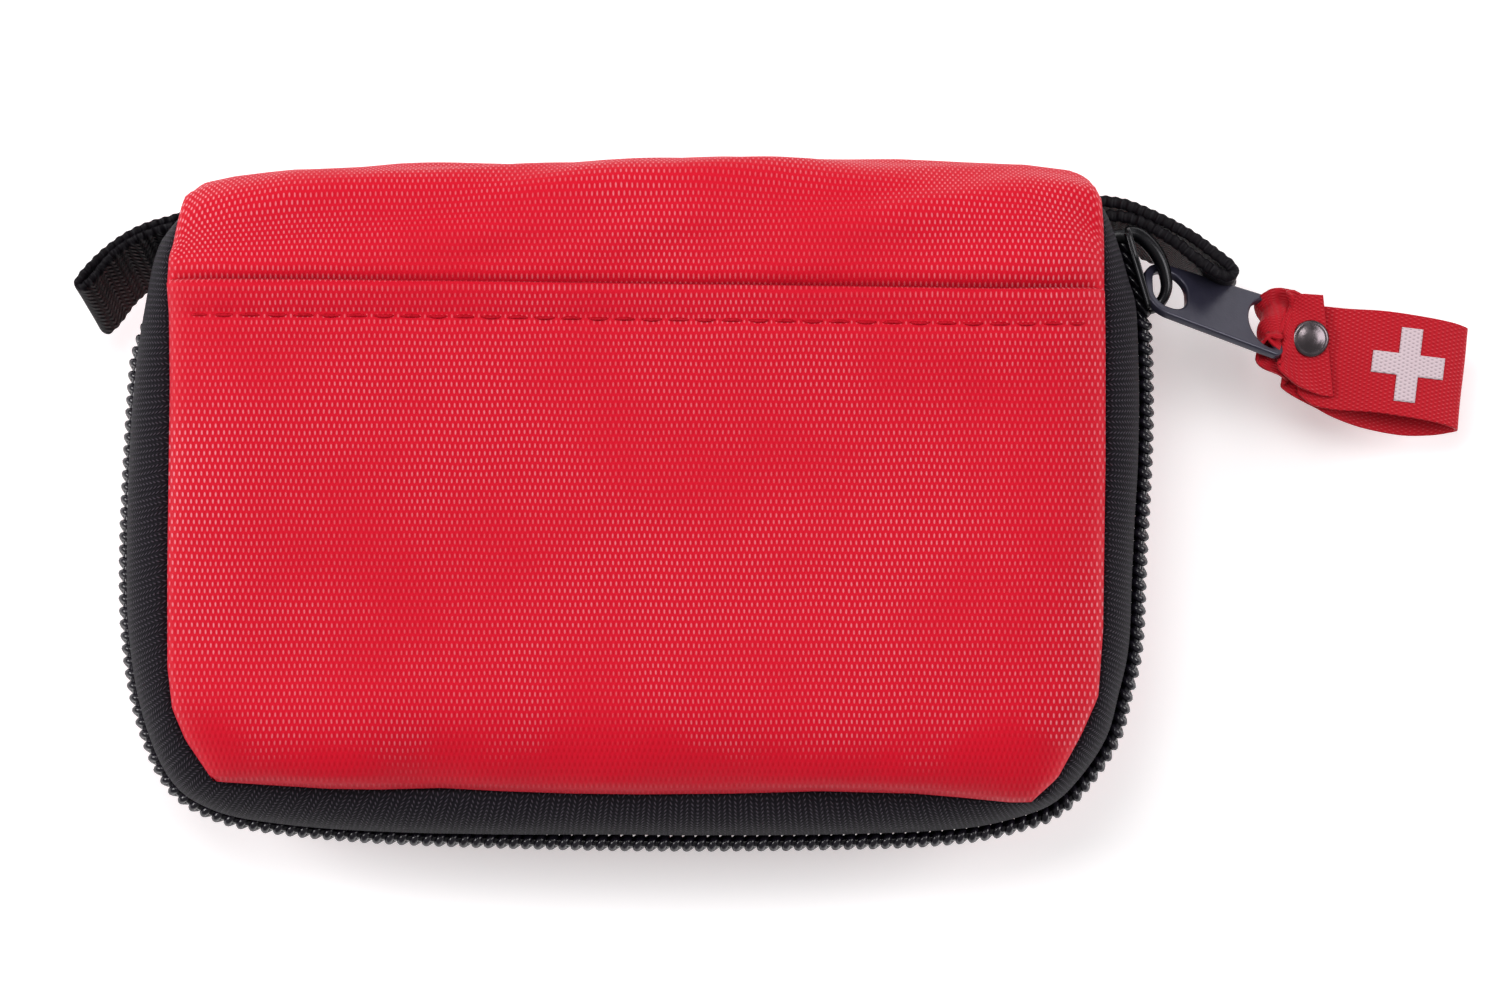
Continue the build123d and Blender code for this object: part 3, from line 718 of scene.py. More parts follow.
def make_loop(name, node, half_mm, near, deep_shift):
    """A loop of webbing on edge; near is the path of its upper edge, deep_shift how its lower edge sits."""
    low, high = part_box(node)
    path = path_through(near, 120) * MM
    ahead = unit(np.gradient(path, axis=0))
    side = np.stack([-ahead[:, 1], ahead[:, 0]], axis=1)
    shift = read_at(np.linspace(0, 1, 120), np.linspace(0, 1, 5), np.array(deep_shift)) * MM
    run = length_of(path)
    half = half_mm * MM
    depth = high[2] - low[2]
    # The section's corners: how far to the side, as a share of half the thickness, and how far down.
    down = [(0.015, 1), (0.05, 1), (0.10, 0.92), (0.2, 0.85), (0.35, 0.85), (0.5, 0.85), (0.65, 0.85),
            (0.8, 0.85), (0.9, 0.92), (0.95, 1), (0.985, 1), (1.0, 0.5)]
    section = [(-wide, t) for t, wide in down] + [(wide, t) for t, wide in down[::-1]]
    section += [(0.5, 0.0), (-0.5, 0.0)]
    cords = 2 * math.pi * run / (1.25 * MM)
    rings = []
    for aside, t in section:
        edge = max(0, 1 - min(t, 1 - t) / 0.1)
        bead = 1 + edge * 0.30 * np.sin(cords + (math.pi if aside > 0 else 0))
        flat = path + side * (half * aside * bead)[:, None] + shift * t
        z = high[2] - depth * t + edge * 0.22 * MM * np.sin(cords) * (1 if t < 0.5 else -1)
        rings.append(np.column_stack([flat, z]))
    points = np.stack(rings, axis=1)
    faces = grid_faces(len(path), len(section), wrap=True)
    deep = np.array([t * depth for _, t in section])
    uv = np.stack(np.broadcast_arrays(deep[None], run[:, None]), axis=-1)
    loop = new_object(name, points.reshape(-1, 3), faces, webbing_cloth, uvs=uv.reshape(-1, 2))
    modify(loop, "SUBSURF", levels=1, render_levels=1)
    stands_for(loop, node, "rear_half")


make_loop("left_loop_webbing", "loop_left", 0.5,
          [(-52.0, 37.2), (-56.5, 37.0), (-58.9, 36.3), (-61.7, 35.5), (-64.3, 34.3), (-67.0, 32.4),
           (-69.2, 30.3), (-70.5, 28.7), (-70.7, 27.9), (-70.0, 27.8), (-68.7, 29.0), (-67.2, 30.9),
           (-65.7, 32.4), (-63.7, 33.7), (-61.4, 34.7), (-58.8, 35.5), (-56.0, 35.9), (-52.0, 36.0)],
          [(1.0, -3.0), (1.8, -4.8), (2.9, -5.6), (2.4, -5.6), (1.0, -3.0)])
make_loop("right_loop_webbing", "loop_right", 0.72,
          [(53.0, 38.2), (57.6, 38.5), (60.2, 38.3), (62.4, 37.7), (66.3, 36.0), (69.7, 34.1), (72.3, 32.2),
           (74.5, 30.5), (75.1, 29.7), (74.7, 29.1), (73.5, 29.3), (71.8, 30.3), (70.0, 31.6), (68.4, 32.9),
           (66.5, 34.2), (64.1, 35.6), (62.0, 36.4), (60.0, 36.7), (57.6, 36.6), (53.0, 36.4)],
          [(0, -0.5), (-0.3, -1.0), (0, -1.2), (-0.8, -3.4), (0, -1)])


# ------------------------------------------------------------- slider and pull

def plane_matrix(origin, x_axis, y_axis):
    """A frame from an origin and two directions."""
    x, y = Vector(x_axis).normalized(), Vector(y_axis).normalized()
    m = Matrix((x, y, x.cross(y))).transposed().to_4x4()
    m.translation = Vector(origin)
    return m


def plate(name, outlines, thickness, bevel, matrix, material, body):
    """A flat plate with rounded edges, from a closed outline and its holes, in millimetres."""
    curve = bpy.data.curves.new(name, "CURVE")
    curve.dimensions = "2D"
    curve.fill_mode = "BOTH"
    curve.extrude = (thickness / 2 - bevel) * MM
    curve.bevel_depth = bevel * MM
    curve.bevel_resolution = 3
    curve.offset = -bevel * MM
    for outline in outlines:
        spline = curve.splines.new("POLY")
        spline.points.add(len(outline) - 1)
        for point, (x, y) in zip(spline.points, outline):
            point.co = (x * MM, y * MM, 0, 1)
        spline.use_cyclic_u = True
    holder = bpy.data.objects.new(name + "_curve", curve)
    mesh = bpy.data.meshes.new_from_object(holder)
    bpy.data.objects.remove(holder)
    bpy.data.curves.remove(curve)
    mesh.transform(matrix)
    obj = in_scene(name, mesh)
    mesh.materials.clear()
    mesh.materials.append(material)
    mesh.shade_smooth()
    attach(obj, body)
    return obj


def rounded(corners, radii, steps=7):
    """A polygon with its corners rounded, as a list of points."""
    out = []
    n = len(corners)
    for i in range(n):
        p = Vector(corners[i])
        a, b = (Vector(corners[i - 1]) - p).normalized(), (Vector(corners[(i + 1) % n]) - p).normalized()
        half = a.angle(b) / 2
        r = radii[i]
        reach = r / math.tan(half)
        centre = p + (a + b).normalized() * (r / math.sin(half))
        start, end = p + a * reach - centre, p + b * reach - centre
        turn = start.angle_signed(end)
        for k in range(steps):
            angle = -turn * k / (steps - 1)
            c, s = math.cos(angle), math.sin(angle)
            out.append((centre.x + start.x * c - start.y * s, centre.y + start.x * s + start.y * c))
    return out


# The pull hangs on the slider's bridge: its eye's middle, the middle of its far bar, and how it is rolled.
EYE = Vector((66.4, 27.1, 18.2))
BAR = Vector((80.5, 22.4, 12.4))
TAB_ROLL = -44.0
tab_x_dir = (BAR - EYE).normalized()
level_dir = Vector((0, 0, 1)).cross(tab_x_dir).normalized()
tab_y_dir = Matrix.Rotation(math.radians(TAB_ROLL), 3, tab_x_dir) @ level_dir
tab_z_dir = tab_x_dir.cross(tab_y_dir)
tab_matrix = plane_matrix(EYE * MM, tab_x_dir, tab_y_dir)
bar_at = (BAR - EYE).length


def make_tab():
    """The pull tab: a bevelled plate that widens to a D-shaped slot, with an oval eye."""
    near, far = -3.15, bar_at + 0.75
    body = rounded([(near, 4.05), (far, 4.85), (far, -4.85), (near, -4.05)], [3.4, 1.3, 1.3, 3.4], 12)
    eye = rounded([(-2.0, 2.9), (2.9, 2.9), (2.9, -2.9), (-2.0, -2.9)], [2.0, 2.4, 2.4, 2.0], 12)
    slot = [(bar_at - 0.75, -3.85)]
    slot += [(bar_at - 1.2 - 2.9 * math.cos(a), 3.85 * math.sin(a)) for a in np.linspace(-1.5, 1.5, 21)]
    slot += [(bar_at - 0.75, 3.85)]
    tab = plate("pull_tab_plate", [body, eye, slot], 1.15, 0.30, tab_matrix, tab_paint, "pull")
    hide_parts("pull_tab")


make_tab()


SLIDER_TILT = 16.0
ARCH_Z = 18.0
SLIDER_AT = (61.45 * MM, 29.3 * MM, mid_z)


def make_slider():
    """The slider: two shield-shaped plates with turned-in lips, a web between them, and the bridge."""
    frame_at = Matrix.Rotation(math.radians(SLIDER_TILT), 4, "Z")
    frame_at.translation = Vector(SLIDER_AT)
    shield = rounded([(-5.2, -3.0), (-5.2, 3.0), (1.5, 3.9), (5.6, 3.2), (5.6, -3.2), (1.5, -3.9)],
                     [0.9, 0.9, 3.0, 1.6, 1.6, 3.0])
    # A plate's own X runs along the zip and its own Z points outward.
    stand = Matrix(((0, 0, 1, 0), (1, 0, 0, 0), (0, 1, 0, 0), (0, 0, 0, 1)))
    for name, x in (("slider_plate_inner", -1.75), ("slider_plate_outer", 1.75)):
        m = frame_at @ Matrix.Translation((x * MM, 0, 0)) @ stand
        plate(name, [shield], 0.55, 0.17, m, slider_paint, "slider")
    parts = []
    for way in (-1, 1):
        for x, turn in ((-1.45, 1), (1.45, -1)):
            lip = [(x + turn * 0.05, -4.9, way * 2.95), (x + turn * 0.10, -2.0, way * 3.35),
                   (x + turn * 0.15, 1.5, way * 3.6), (x + turn * 0.10, 4.8, way * 3.1)]
            parts.append(tube_mesh(path_through(lip, 20) * MM, 0.34 * MM, 8))
    web = path_through([(-1.75, 4.3, 0), (-0.6, 4.8, 0), (0.6, 4.8, 0), (1.75, 4.3, 0)], 16) * MM
    parts.append(tube_mesh(web, 0.8 * MM, 14, squash=0.4))
    rails = new_object("slider_rails", *joined(parts), slider_paint)
    rails.data.transform(frame_at)
    stands_for(rails, "slider_body", "slider")
    arch = [(61.5, 34.3), (62.6, 34.3), (63.7, 33.7), (65.0, 32.3), (66.0, 30.5), (66.5, 28.6), (66.5, 27.2),
            (66.0, 26.0), (65.2, 25.2), (64.3, 24.9)]
    arch = path_through([(x, y, ARCH_Z) for x, y in arch], 70) * MM
    share = np.linspace(0, 1, 70)
    thick = np.interp(share, [0, 0.15, 0.4, 0.65, 0.85, 1], [1.0, 1.0, 0.95, 0.78, 0.70, 0.8]) * MM
    bridge = new_object("slider_bridge_arch", *tube_mesh(arch, thick, 20, squash=1.15), slider_paint)
    stands_for(bridge, "slider_bridge", "slider")


make_slider()


# ---------------------------------------------------------------------- ribbon

RIBBON_WIDTH = 12.9
bar_mm = np.array(BAR)
tab_x_dir, tab_y_dir, tab_z_dir = np.array(tab_x_dir), np.array(tab_y_dir), np.array(tab_z_dir)
heading, droop = math.radians(-6.0), math.radians(9.0)
ribbon_x = np.array((math.cos(heading) * math.cos(droop), math.sin(heading) * math.cos(droop),
                     -math.sin(droop)))
ribbon_y = np.array((-math.sin(heading), math.cos(heading), 0.0))
ribbon_z = np.cross(ribbon_x, ribbon_y)


def on_ribbon(x, y, z):
    """A point in the ribbon's own directions, in millimetres from the middle of the pull's bar."""
    return bar_mm + x * ribbon_x + y * ribbon_y + z * ribbon_z


def round_bar(radius, angle, slip):
    """A point beside the bar, slipped along it."""
    a = math.radians(angle)
    return bar_mm + radius * (math.cos(a) * tab_x_dir + math.sin(a) * tab_z_dir) + slip * tab_y_dir


# Along the strip: its middle, how far its cross direction is swung, its width as a share, how gathered it is.
RIBBON_PATH = [
    (on_ribbon(6.7, -1.4, 1.45), 12, 1.0, 0.0), (on_ribbon(5.4, -1.45, 1.35), 12, 1.0, 0.0),
    (on_ribbon(4.0, -1.3, 1.35), 10, 0.96, 0.0), (on_ribbon(2.6, -1.05, 1.5), 6, 0.88, 0.1),
    (on_ribbon(1.2, -0.35, 1.8), 0, 0.74, 0.35), (round_bar(1.85, 80, 0.8), 0, 0.64, 0.8),
    (round_bar(1.75, 130, 0.9), 0, 0.57, 1.0), (round_bar(1.7, 180, 0.6), 0, 0.55, 1.0),
    (round_bar(1.7, 225, 0.2), 0, 0.57, 1.0), (round_bar(1.8, 270, -0.5), 0, 0.62, 0.95),
    (round_bar(1.95, 315, -1.2), 0, 0.68, 0.75), (on_ribbon(1.9, -2.2, -1.35), 0, 0.77, 0.5),
    (on_ribbon(3.4, -2.6, -1.0), 0, 0.87, 0.2), (on_ribbon(6.2, -3.0, -0.6), 0, 0.98, 0.0),
    (on_ribbon(9.0, -3.9, -1.1), 0, 1.0, 0.0), (on_ribbon(13.0, -4.8, -1.9), 0, 1.0, 0.0),
    (on_ribbon(18.0, -5.2, -2.2), 0, 1.0, 0.0), (on_ribbon(21.8, -4.8, -1.8), 0, 1.0, 0.0),
    (on_ribbon(24.0, -4.2, -0.9), 0, 1.0, 0.0), (on_ribbon(24.5, -3.9, 0.0), 0, 1.0, 0.0),
    (on_ribbon(24.0, -3.6, 0.9), 0, 1.0, 0.0), (on_ribbon(22.0, -3.2, 1.55), 0, 1.0, 0.0),
    (on_ribbon(18.5, -2.9, 1.9), 0, 1.0, 0.0), (on_ribbon(13.5, -2.7, 1.8), 0, 1.0, 0.0),
    (on_ribbon(9.0, -2.9, 1.0), 0, 1.0, 0.0), (on_ribbon(6.0, -2.8, 0.45), 0, 0.98, 0.0),
    (on_ribbon(4.6, -2.5, 0.3), 0, 0.92, 0.0), (on_ribbon(3.6, -2.2, 0.25), 0, 0.86, 0.0),
]
STATIONS = 260
RIBBON_COLUMNS = 73
MIDDLE = RIBBON_COLUMNS // 2
SCALED = 1e-4        # shrinks the last three values, so that only the places set the stations' spacing
ribbon_line = path_through([(*p, a * SCALED, w * SCALED, g * SCALED) for p, a, w, g in RIBBON_PATH], STATIONS)
ribbon_line, ribbon_swing = ribbon_line[:, :3], ribbon_line[:, 3:] / SCALED
ribbon_run = length_of(ribbon_line)


def ribbon_surface():
    """The strip's points: flat over most of its length, and gathered where it goes round the bar."""
    swing = np.radians(ribbon_swing[:, 0])[:, None]
    share, gather = ribbon_swing[:, 1], np.clip(ribbon_swing[:, 2], 0, 1)
    ahead = unit(np.gradient(ribbon_line, axis=0))
    open_way = ribbon_y[None] * np.cos(swing) - ribbon_x[None] * np.sin(swing)
    crossways = unit(open_way * (1 - gather[:, None]) + tab_y_dir[None] * gather[:, None])
    crossways = unit(crossways - gather[:, None] * ahead * np.sum(crossways * ahead, axis=1, keepdims=True))
    normal = unit(np.cross(ahead, crossways))
    v = np.linspace(-1, 1, RIBBON_COLUMNS)
    half = RIBBON_WIDTH / 2 * share
    grid = ribbon_line[:, None] + crossways[:, None] * (v[None, :] * half[:, None])[..., None]
    slack = np.sqrt(np.clip(1 - share, 0, 1))[:, None]
    drift = ribbon_run[:, None] * 0.11
    folds = np.cos(v[None, :] * 5.2 + 2.6 + drift) * 0.62 + np.cos(v[None, :] * 9.5 + 0.9 - drift) * 0.18
    soft = waves(np.stack([grid[..., 0], grid[..., 1], grid[..., 2] * 3], axis=-1), (7.0, 5.5, 9.0), 41.0)
    sway = 0.10 * soft * (1 - gather[:, None])
    return grid + normal[:, None] * (folds * slack + sway)[..., None]


def make_ribbon():
    """The ribbon: one strip from the flap under the rivet, round the bar, out, back over and in again."""
    grid = ribbon_surface()
    u = ribbon_run[:, None] * np.ones((1, grid.shape[1]))
    v = np.linspace(-RIBBON_WIDTH / 2, RIBBON_WIDTH / 2, grid.shape[1])[None] * np.ones((grid.shape[0], 1))
    strip = grid_object("ribbon_strip", grid * MM, ribbon_cloth, np.stack([v, u], axis=-1) * MM)
    thicken(strip, 0.42, offset=0)
    stands_for(strip, "ribbon", "ribbon_loop")
    return strip, grid


ribbon_strip, ribbon_grid = make_ribbon()


def make_cross():
    """The printed cross: a thin skin that follows the ribbon's front layer."""
    arm, size, at, side = 2.75, 9.35, 17.1, -2.75
    ticks = np.concatenate([np.linspace(-size / 2, -arm / 2, 12), np.linspace(-arm / 2, arm / 2, 11)[1:],
                            np.linspace(arm / 2, size / 2, 12)[1:]])
    front = ribbon_grid[int(STATIONS * 0.6):]
    local = (front - bar_mm) @ np.stack([ribbon_x, ribbon_y, ribbon_z], axis=1)
    local = local[(local[:, MIDDLE, 0] < 23.6) & (local[:, MIDDLE, 2] > 0.3)][::-1]
    turn = math.radians(-0.7)
    verts, index, uvs = [], {}, []
    for i, a in enumerate(ticks):
        for j, b in enumerate(ticks):
            if abs(a) > arm / 2 + 1e-6 and abs(b) > arm / 2 + 1e-6:
                continue
            x = at + a * math.cos(turn) - b * math.sin(turn)
            y = side + a * math.sin(turn) + b * math.cos(turn)
            heights = np.array([np.interp(y, row[:, 1], row[:, 2]) for row in local[::4]])
            z = np.interp(x, local[::4, MIDDLE, 0], heights)
            index[i, j] = len(verts)
            verts.append(on_ribbon(x, y, z + 0.27) * MM)
            uvs.append((b * MM, a * MM))
    faces = []
    for (i, j) in index:
        square = [(i, j), (i + 1, j), (i + 1, j + 1), (i, j + 1)]
        if all(q in index for q in square):
            middle_a, middle_b = (ticks[i] + ticks[i + 1]) / 2, (ticks[j] + ticks[j + 1]) / 2
            if abs(middle_a) < arm / 2 or abs(middle_b) < arm / 2:
                faces.append([index[q] for q in square])
    cross = new_object("cross_print", verts, faces, cross_ink, uvs=uvs)
    thicken(cross, 0.08, offset=1)
    stands_for(cross, "ribbon_cross", "ribbon_loop")
    return cross


# The floats' paler colour on the cross is painted sheen, as on the cloths above.
cross_ink = woven("cross_ink", (0.62, 0.50, 0.54, 1), (0.66, 0.56, 0.60, 1), (0.20, 0.15, 0.18, 1),
                  0.50, 0.55, 0.06, 0.1, (1, 1, 1, 1), dash=(-0.2, 0.9), light_share=0.7)
cross = make_cross()


def lathe(name, profile, matrix, material):
    """A turned piece from (radius, height) pairs in millimetres, closed on its axis."""
    sides = 48
    turn = np.linspace(0, 2 * math.pi, sides, endpoint=False)
    verts, faces, rings = [], [], []
    for radius, height in profile:
        if radius < 1e-6:
            rings.append([len(verts)])
            verts.append((0, 0, height * MM))
        else:
            rings.append(list(range(len(verts), len(verts) + sides)))
            verts += [(radius * MM * math.cos(a), radius * MM * math.sin(a), height * MM) for a in turn]
    for low, high in zip(rings, rings[1:]):
        for i in range(sides):
            k = (i + 1) % sides
            if len(low) == 1:
                faces.append((low[0], high[k], high[i])[::-1])
            elif len(high) == 1:
                faces.append((low[i], low[k], high[0]))
            else:
                faces.append((low[i], low[k], high[k], high[i]))
    obj = new_object(name, verts, faces, material)
    obj.data.transform(matrix)
    return obj


def make_rivet_half(name, node, profile, z):
    """One half of the rivet, turned about the rivet's axis through the ribbon."""
    at = plane_matrix(on_ribbon(4.3, -0.75, z) * MM, ribbon_x, ribbon_y)
    half = lathe(name, profile, at, rivet_metal)
    stands_for(half, node, "ribbon_loop")
    return half


cap = make_rivet_half("rivet_cap_dome", "rivet_cap", [
    (0, -1.2), (1.0, -1.2), (1.0, -0.1), (2.1, -0.05), (2.3, 0.1), (2.34, 0.32), (2.2, 0.5), (2.0, 0.56),
    (1.85, 0.54), (1.7, 0.56), (1.3, 0.72), (0.8, 0.82), (0, 0.86)], 1.62)
base = make_rivet_half("rivet_base_ring", "rivet_base", [
    (0, -0.35), (0.8, -0.35), (1.0, -0.5), (1.5, -0.62), (1.9, -0.5), (2.1, -0.2), (2.0, 0.0), (0, 0.0)],
    -0.85)


# -------------------------------------------------------------------- interior

def refined(node, material, slot_name, body, bevel):
    """A CAD piece's shape with its edges softened by bevel millimetres, standing for that piece."""
    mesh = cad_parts[node].data.copy()
    work = bmesh.new()
    work.from_mesh(mesh)
    bmesh.ops.remove_doubles(work, verts=work.verts, dist=1e-6)
    bmesh.ops.dissolve_limit(work, angle_limit=math.radians(1), verts=work.verts, edges=work.edges)
    work.to_mesh(mesh)
    work.free()
    mesh.materials.clear()
    mesh.materials.append(material)
    obj = in_scene(node + "_finished", mesh)
    modify(obj, "BEVEL", width=bevel * MM, segments=2, limit_method="ANGLE", angle_limit=math.radians(35),
           harden_normals=False)
    mesh.shade_smooth()
    modify(obj, "WEIGHTED_NORMAL", keep_sharp=True)
    stands_for(obj, node, body)


# The floats' paler grey is painted sheen, as on the cloths above.
lining_cloth = woven("lining_grey", (0.055, 0.055, 0.060, 1), (0.12, 0.12, 0.13, 1), (0.020, 0.020, 0.024, 1),
                     0.5, 0.5, 0.05, 0.15, (1, 1, 1, 1), light_share=0.5)
steel = plain("surgical_steel", (0.50, 0.51, 0.52, 1), (0.56, 0.57, 0.58, 1), 0.27, 5.0, 0.004, 0.5,
              Metallic=1.0)
grip = plain("grip_red", (0.45, 0.02, 0.02, 1), (0.50, 0.03, 0.03, 1), 0.42, 3.0, 0.01, 0.3)
band_cloth = elastic_knit("band_elastic", (0.006, 0.005, 0.008, 1), (0.045, 0.043, 0.052, 1), 1.0, 0.18)
net_cord = plain("net_black", (0.012, 0.012, 0.014, 1), (0.02, 0.02, 0.022, 1), 0.6, 1.0, 0.01, 0.2)


def gauze_finish():
    """Cotton crepe: a fine, slightly irregular weave."""
    s = Shader("crepe_bandage", **{"Sheen Weight": 0.3, "Sheen Roughness": 0.6})
    x, y, both = s.cloth()
    weave = s.math("MULTIPLY", s.wave(x, 0.9), s.wave(y, 1.1))
    crinkle = s.lumps(both, 1.6, 3.0)
    height = s.math("MULTIPLY_ADD", weave, 0.25, crinkle)
    s.colour(s.mix(s.steps(height, 0.2, 0.8), (0.62, 0.56, 0.46, 1), (0.80, 0.76, 0.68, 1)))
    s.out.inputs["Roughness"].default_value = 0.85
    s.bump(height, 0.18)
    return s.material


crepe = gauze_finish()


def make_roll(name, node, seed):
    """A bandage wound on itself: a spiral strip whose edges are slightly uneven."""
    low, high = (np.array(c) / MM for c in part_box(node))
    radius = (high[0] - low[0]) / 2 - 0.15
    centre_x, centre_z = (low[0] + high[0]) / 2, (low[2] + high[2]) / 2
    inner, layer_pitch = 1.6, 0.78
    turns = (radius - inner) / layer_pitch
    angle = np.linspace(0, turns * 2 * math.pi, int(turns * 40))
    r = inner + layer_pitch * angle / (2 * math.pi)
    wander = waves(np.stack([angle / 5, angle * 0, angle * 0], axis=-1), (1, 1, 1), seed)
    ends = []
    for share in (0, 0.02, 0.25, 0.5, 0.75, 0.98, 1):
        y = low[1] + 0.3 + (high[1] - low[1] - 0.6) * share + wander * 0.35
        ends.append(np.column_stack([centre_x + r * np.cos(angle + seed), y,
                                     centre_z + r * np.sin(angle + seed)]))
    points = np.stack(ends, axis=1)
    run = length_of(points[:, 0])
    uv = np.stack(np.broadcast_arrays(points[..., 1], run[:, None]), axis=-1)
    roll = grid_object(name, points * MM, crepe, uv * MM)
    thicken(roll, 0.55)
    stands_for(roll, node, "rear_half")


make_roll("wide_roll_wound", "bandage_roll_wide", 0.6)
make_roll("narrow_roll_wound", "bandage_roll_narrow", 2.4)


def make_packet(name, node, material, body, crimp, seed):
    """A sealed packet: a soft middle between crimped flat seams."""
    low, high = (np.array(c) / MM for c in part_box(node))
    n, m = 70, 60
    u, v = np.meshgrid(np.linspace(0, 1, n), np.linspace(0, 1, m), indexing="ij")
    x, y = low[0] + (high[0] - low[0]) * u, low[1] + (high[1] - low[1]) * v
    side_x = np.minimum(x - low[0], high[0] - x)
    side_y = np.minimum(y - low[1], high[1] - y)
    inside = np.minimum(side_x, side_y)
    full = pillow(inside - crimp, 5.0)
    ridge = np.where(side_y < crimp, np.cos(side_y * 2 * math.pi / 0.8), np.cos(side_x * 2 * math.pi / 0.8))
    ridge = ridge * (inside < crimp) * 0.06
    middle = (low[2] + high[2]) / 2
    half = (high[2] - low[2]) / 2
    flat = np.stack([x, y, x * 0], axis=-1)
    crease = 0.25 * waves(flat, (9, 7, 1), seed) * full
    crease += 0.10 * waves(flat, (2.2, 9, 1), seed + 4) * (1 - full)
    top = middle + np.clip((half - 0.15) * full + crease, 0.08, half) + ridge
    bottom = middle - np.clip((half - 0.15) * full, 0.08, half) + ridge
    parts = [np.stack([x, y, top], axis=-1), np.stack([x, y, bottom], axis=-1)]
    verts = np.concatenate([p.reshape(-1, 3) for p in parts])
    faces = [f[::-1] for f in grid_faces(n, m)] + [tuple(i + n * m for i in f) for f in grid_faces(n, m)]
    rim = [i * m for i in range(n)] + [(n - 1) * m + j for j in range(1, m)]
    rim += [i * m + m - 1 for i in range(n - 2, -1, -1)] + [j for j in range(m - 2, 0, -1)]
    for a, b in zip(rim, rim[1:] + rim[:1]):
        faces.append((a, b, b + n * m, a + n * m))
    uv = np.concatenate([np.stack([x, y], axis=-1).reshape(-1, 2)] * 2) * MM
    obj = new_object(name, verts * MM, faces, material, uvs=uv)
    stands_for(obj, node, body)
    return obj


paper = plain("packet_paper", (0.74, 0.75, 0.76, 1), (0.84, 0.84, 0.84, 1), 0.55, 6.0, 0.05, 0.5)
film = plain("packet_film", (0.10, 0.30, 0.55, 1), (0.14, 0.36, 0.62, 1), 0.22, 5.0, 0.02, 0.6, Metallic=0.3)
plaster_paper = plain("plaster_paper", (0.72, 0.66, 0.56, 1), (0.80, 0.74, 0.64, 1), 0.6, 5.0, 0.04, 0.4)
for name, node, material, slot_name, body, crimp, seed, fill in (
    ("gauze_packet_sealed", "gauze_packet", paper, "packet_film", "rear_half", 3.0, 1.0, 0.5),
    ("wipe_packet_lower_sealed", "wipe_packet_lower", film, "wipe_film", "rear_half", 2.5, 2.0, 0.4),
    ("wipe_packet_upper_sealed", "wipe_packet_upper", film, "wipe_film", "rear_half", 2.5, 3.0, 0.4),
    ("plasters_large_wrapped", "plasters_large", plaster_paper, "plaster_wrap", "cover", 2.0, 5.0, None),
    ("plasters_small_wrapped", "plasters_small", plaster_paper, "plaster_wrap", "cover", 2.0, 6.0, None),
):
    packet = make_packet(name, node, material, body, crimp, seed)


def make_linings():
    """The dark lining on the inside of each half."""
    columns = 90
    points, flat = cloth_points(columns, np.linspace(0, 1, 70), lift=-2.5 * MM, wrinkle=0.3, seed=5.0)
    points[..., 0] *= 0.985
    keep = points[:, columns // 2, 2] > top_z - 10.5 * MM
    points, flat = points[keep], flat[keep]
    for half, body, grid in (("front", "cover", points), ("rear", "rear_half", mirrored(points))):
        lining = grid_object(half + "_lining_cloth", grid, lining_cloth, flat, flip=half == "rear")
        thicken(lining, 0.3)
        stands_for(lining, half + "_lining", body)


def make_spine_lining():
    """The lining of the spine, just inside its cloth."""
    low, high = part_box("spine_lining")
    x, z = np.meshgrid(np.linspace(low[0] * 0.96, high[0] * 0.96, 60),
                       np.linspace(low[2] + 2 * MM, high[2] - 2 * MM, 16))
    y = np.minimum(top_edge(x) - 1.9 * MM, high[1]) - 0.0012 * ((z - mid_z) / (high[2] - mid_z)) ** 4
    y = y + 0.25 * MM * waves(np.stack([x, z, z * 0], axis=-1), (0.02, 0.012, 1), 51.0)
    piece = grid_object("spine_lining_cloth", np.stack([x, y, z], axis=-1), lining_cloth,
                        np.stack([x, z], axis=-1))
    thicken(piece, 0.3, offset=0)
    stands_for(piece, "spine_lining", "spine")


make_linings()
make_spine_lining()


def make_net():
    """The mesh pocket: a real net of hexagons over the plasters."""
    low, high = (np.array(c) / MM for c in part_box("mesh_pocket"))
    side = 1.5
    verts, index, faces = [], {}, []

    def corner(x, y):
        key = (round(x, 3), round(y, 3))
        if key not in index:
            index[key] = len(verts)
            full = pillow(min(x - low[0], high[0] - x, y - low[1]), 5.0)
            z = high[2] - 0.5 - (high[2] - low[2] - 1.1) * float(full)
            verts.append((x, y, z + 0.25 * noise.noise(Vector((x / 9, y / 9, 3.0)))))
        return index[key]

    step_x, step_y = side * 1.5, side * math.sqrt(3)
    for i in range(int((high[0] - low[0] - 2 * side) / step_x)):
        for j in range(int((high[1] - low[1] - 2 * side) / step_y)):
            cx = low[0] + side + i * step_x + 0.3
            cy = low[1] + side + (j + 0.5 * (i % 2)) * step_y + 0.2
            faces.append([corner(cx + side * math.cos(k * math.pi / 3), cy + side * math.sin(k * math.pi / 3))
                          for k in range(6)])
    net = new_object("mesh_pocket_net", np.array(verts) * MM, faces, net_cord)
    modify(net, "WIREFRAME", thickness=0.34 * MM, use_even_offset=False, use_boundary=True)
    stands_for(net, "mesh_pocket", "cover")


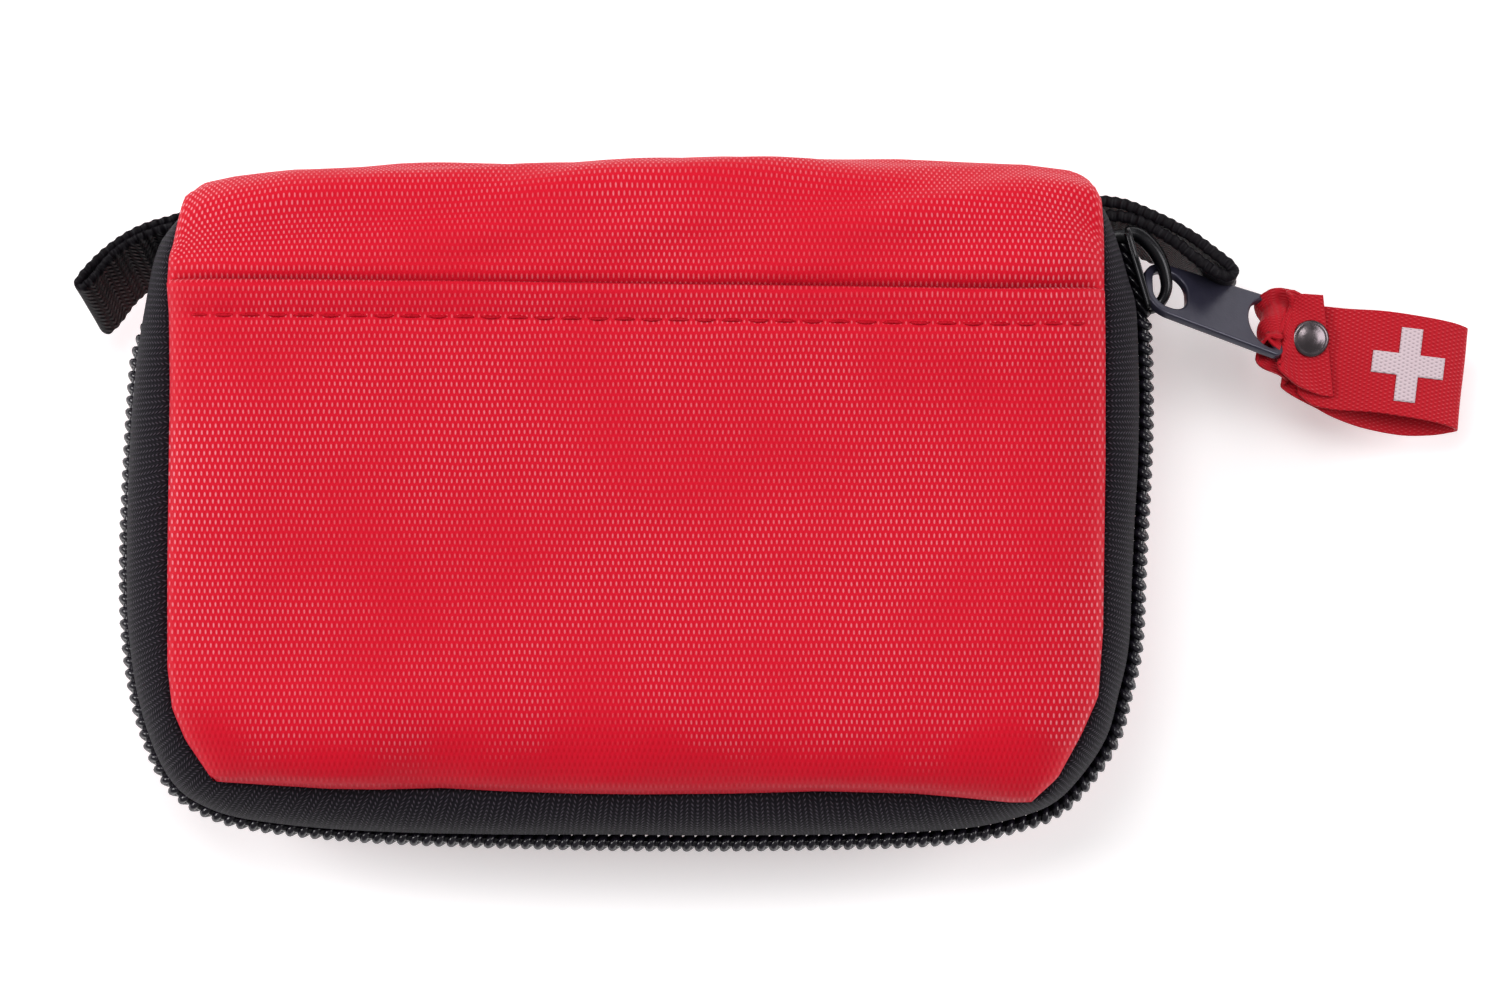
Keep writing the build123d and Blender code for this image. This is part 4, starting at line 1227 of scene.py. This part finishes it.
make_net()
for finished in (
    ("pocket_binding", band_cloth, "zip_tape", "cover", 0.35),
    ("elastic_band", band_cloth, "elastic", "rear_half", 0.2),
    ("scissors_blade_fixed", steel, "steel", "rear_half", 0.15),
    ("scissors_blade_moving", steel, "steel", "scissors_half", 0.15),
    ("scissors_pivot", steel, "steel", "rear_half", 0.2),
    ("scissors_handle_fixed", grip, "grip_plastic", "rear_half", 0.6),
    ("scissors_handle_moving", grip, "grip_plastic", "scissors_half", 0.6),
    ("tweezers", steel, "steel", "rear_half", 0.2),
):
    refined(*finished)


# ------------------------------------------------------------ floor and lights

bpy.context.scene.view_settings.view_transform = "Standard"


def make_stage():
    """A plain pale floor, soft lights above, at both sides and behind, and the camera straight over it."""
    bpy.ops.mesh.primitive_plane_add(size=6, location=(0, 0, -0.0002))
    floor = bpy.context.object
    floor.name = "floor"
    s = Shader("floor_white", **{"Roughness": 0.9, "Specular IOR Level": 0.1, "Emission Color": (1, 1, 1, 1),
                                 "Emission Strength": 0.35})
    shade = s.steps(s.lumps(s.place(), 900.0, 1.0), 0.2, 0.8)
    s.colour(s.mix(shade, (0.90, 0.90, 0.905, 1), (0.92, 0.92, 0.925, 1)))
    floor.data.materials.append(s.material)
    world = bpy.data.worlds.new("studio")
    world.use_nodes = True
    background = world.node_tree.nodes["Background"]
    background.inputs["Color"].default_value = (1, 1, 1, 1)
    background.inputs["Strength"].default_value = 0.28
    bpy.context.scene.world = world
    for name, at, size, power, tint in (
        ("overhead", (-0.25, 0.70, 1.75), 0.7, 9.5, (1.0, 0.98, 0.97)),
        ("left", (-1.05, 0.25, 0.85), 0.6, 11.5, (1.0, 0.97, 0.98)),
        ("right", (1.05, 0.20, 0.85), 0.7, 9.0, (1.0, 0.97, 0.98)),
        ("behind", (0.0, 1.15, 0.70), 0.7, 1.5, (0.97, 0.95, 1.0)),
    ):
        lamp = bpy.data.lights.new(name, "AREA")
        lamp.size = size
        lamp.energy = power
        lamp.color = tint
        obj = in_scene(name, lamp)
        obj.location = at
        obj.rotation_euler = (Vector((0.0, 0, 0.02)) - Vector(at)).to_track_quat("-Z", "Y").to_euler()
        obj.visible_camera = False
    camera = bpy.data.cameras.new("camera")
    distance, object_height, view_width = 1.6, 0.030, 0.1875
    camera.sensor_width = 36
    camera.lens = camera.sensor_width * (distance - object_height) / view_width
    eye = in_scene("camera", camera)
    eye.location = (0.0141, 0.0008, distance)
    bpy.context.scene.camera = eye


make_stage()
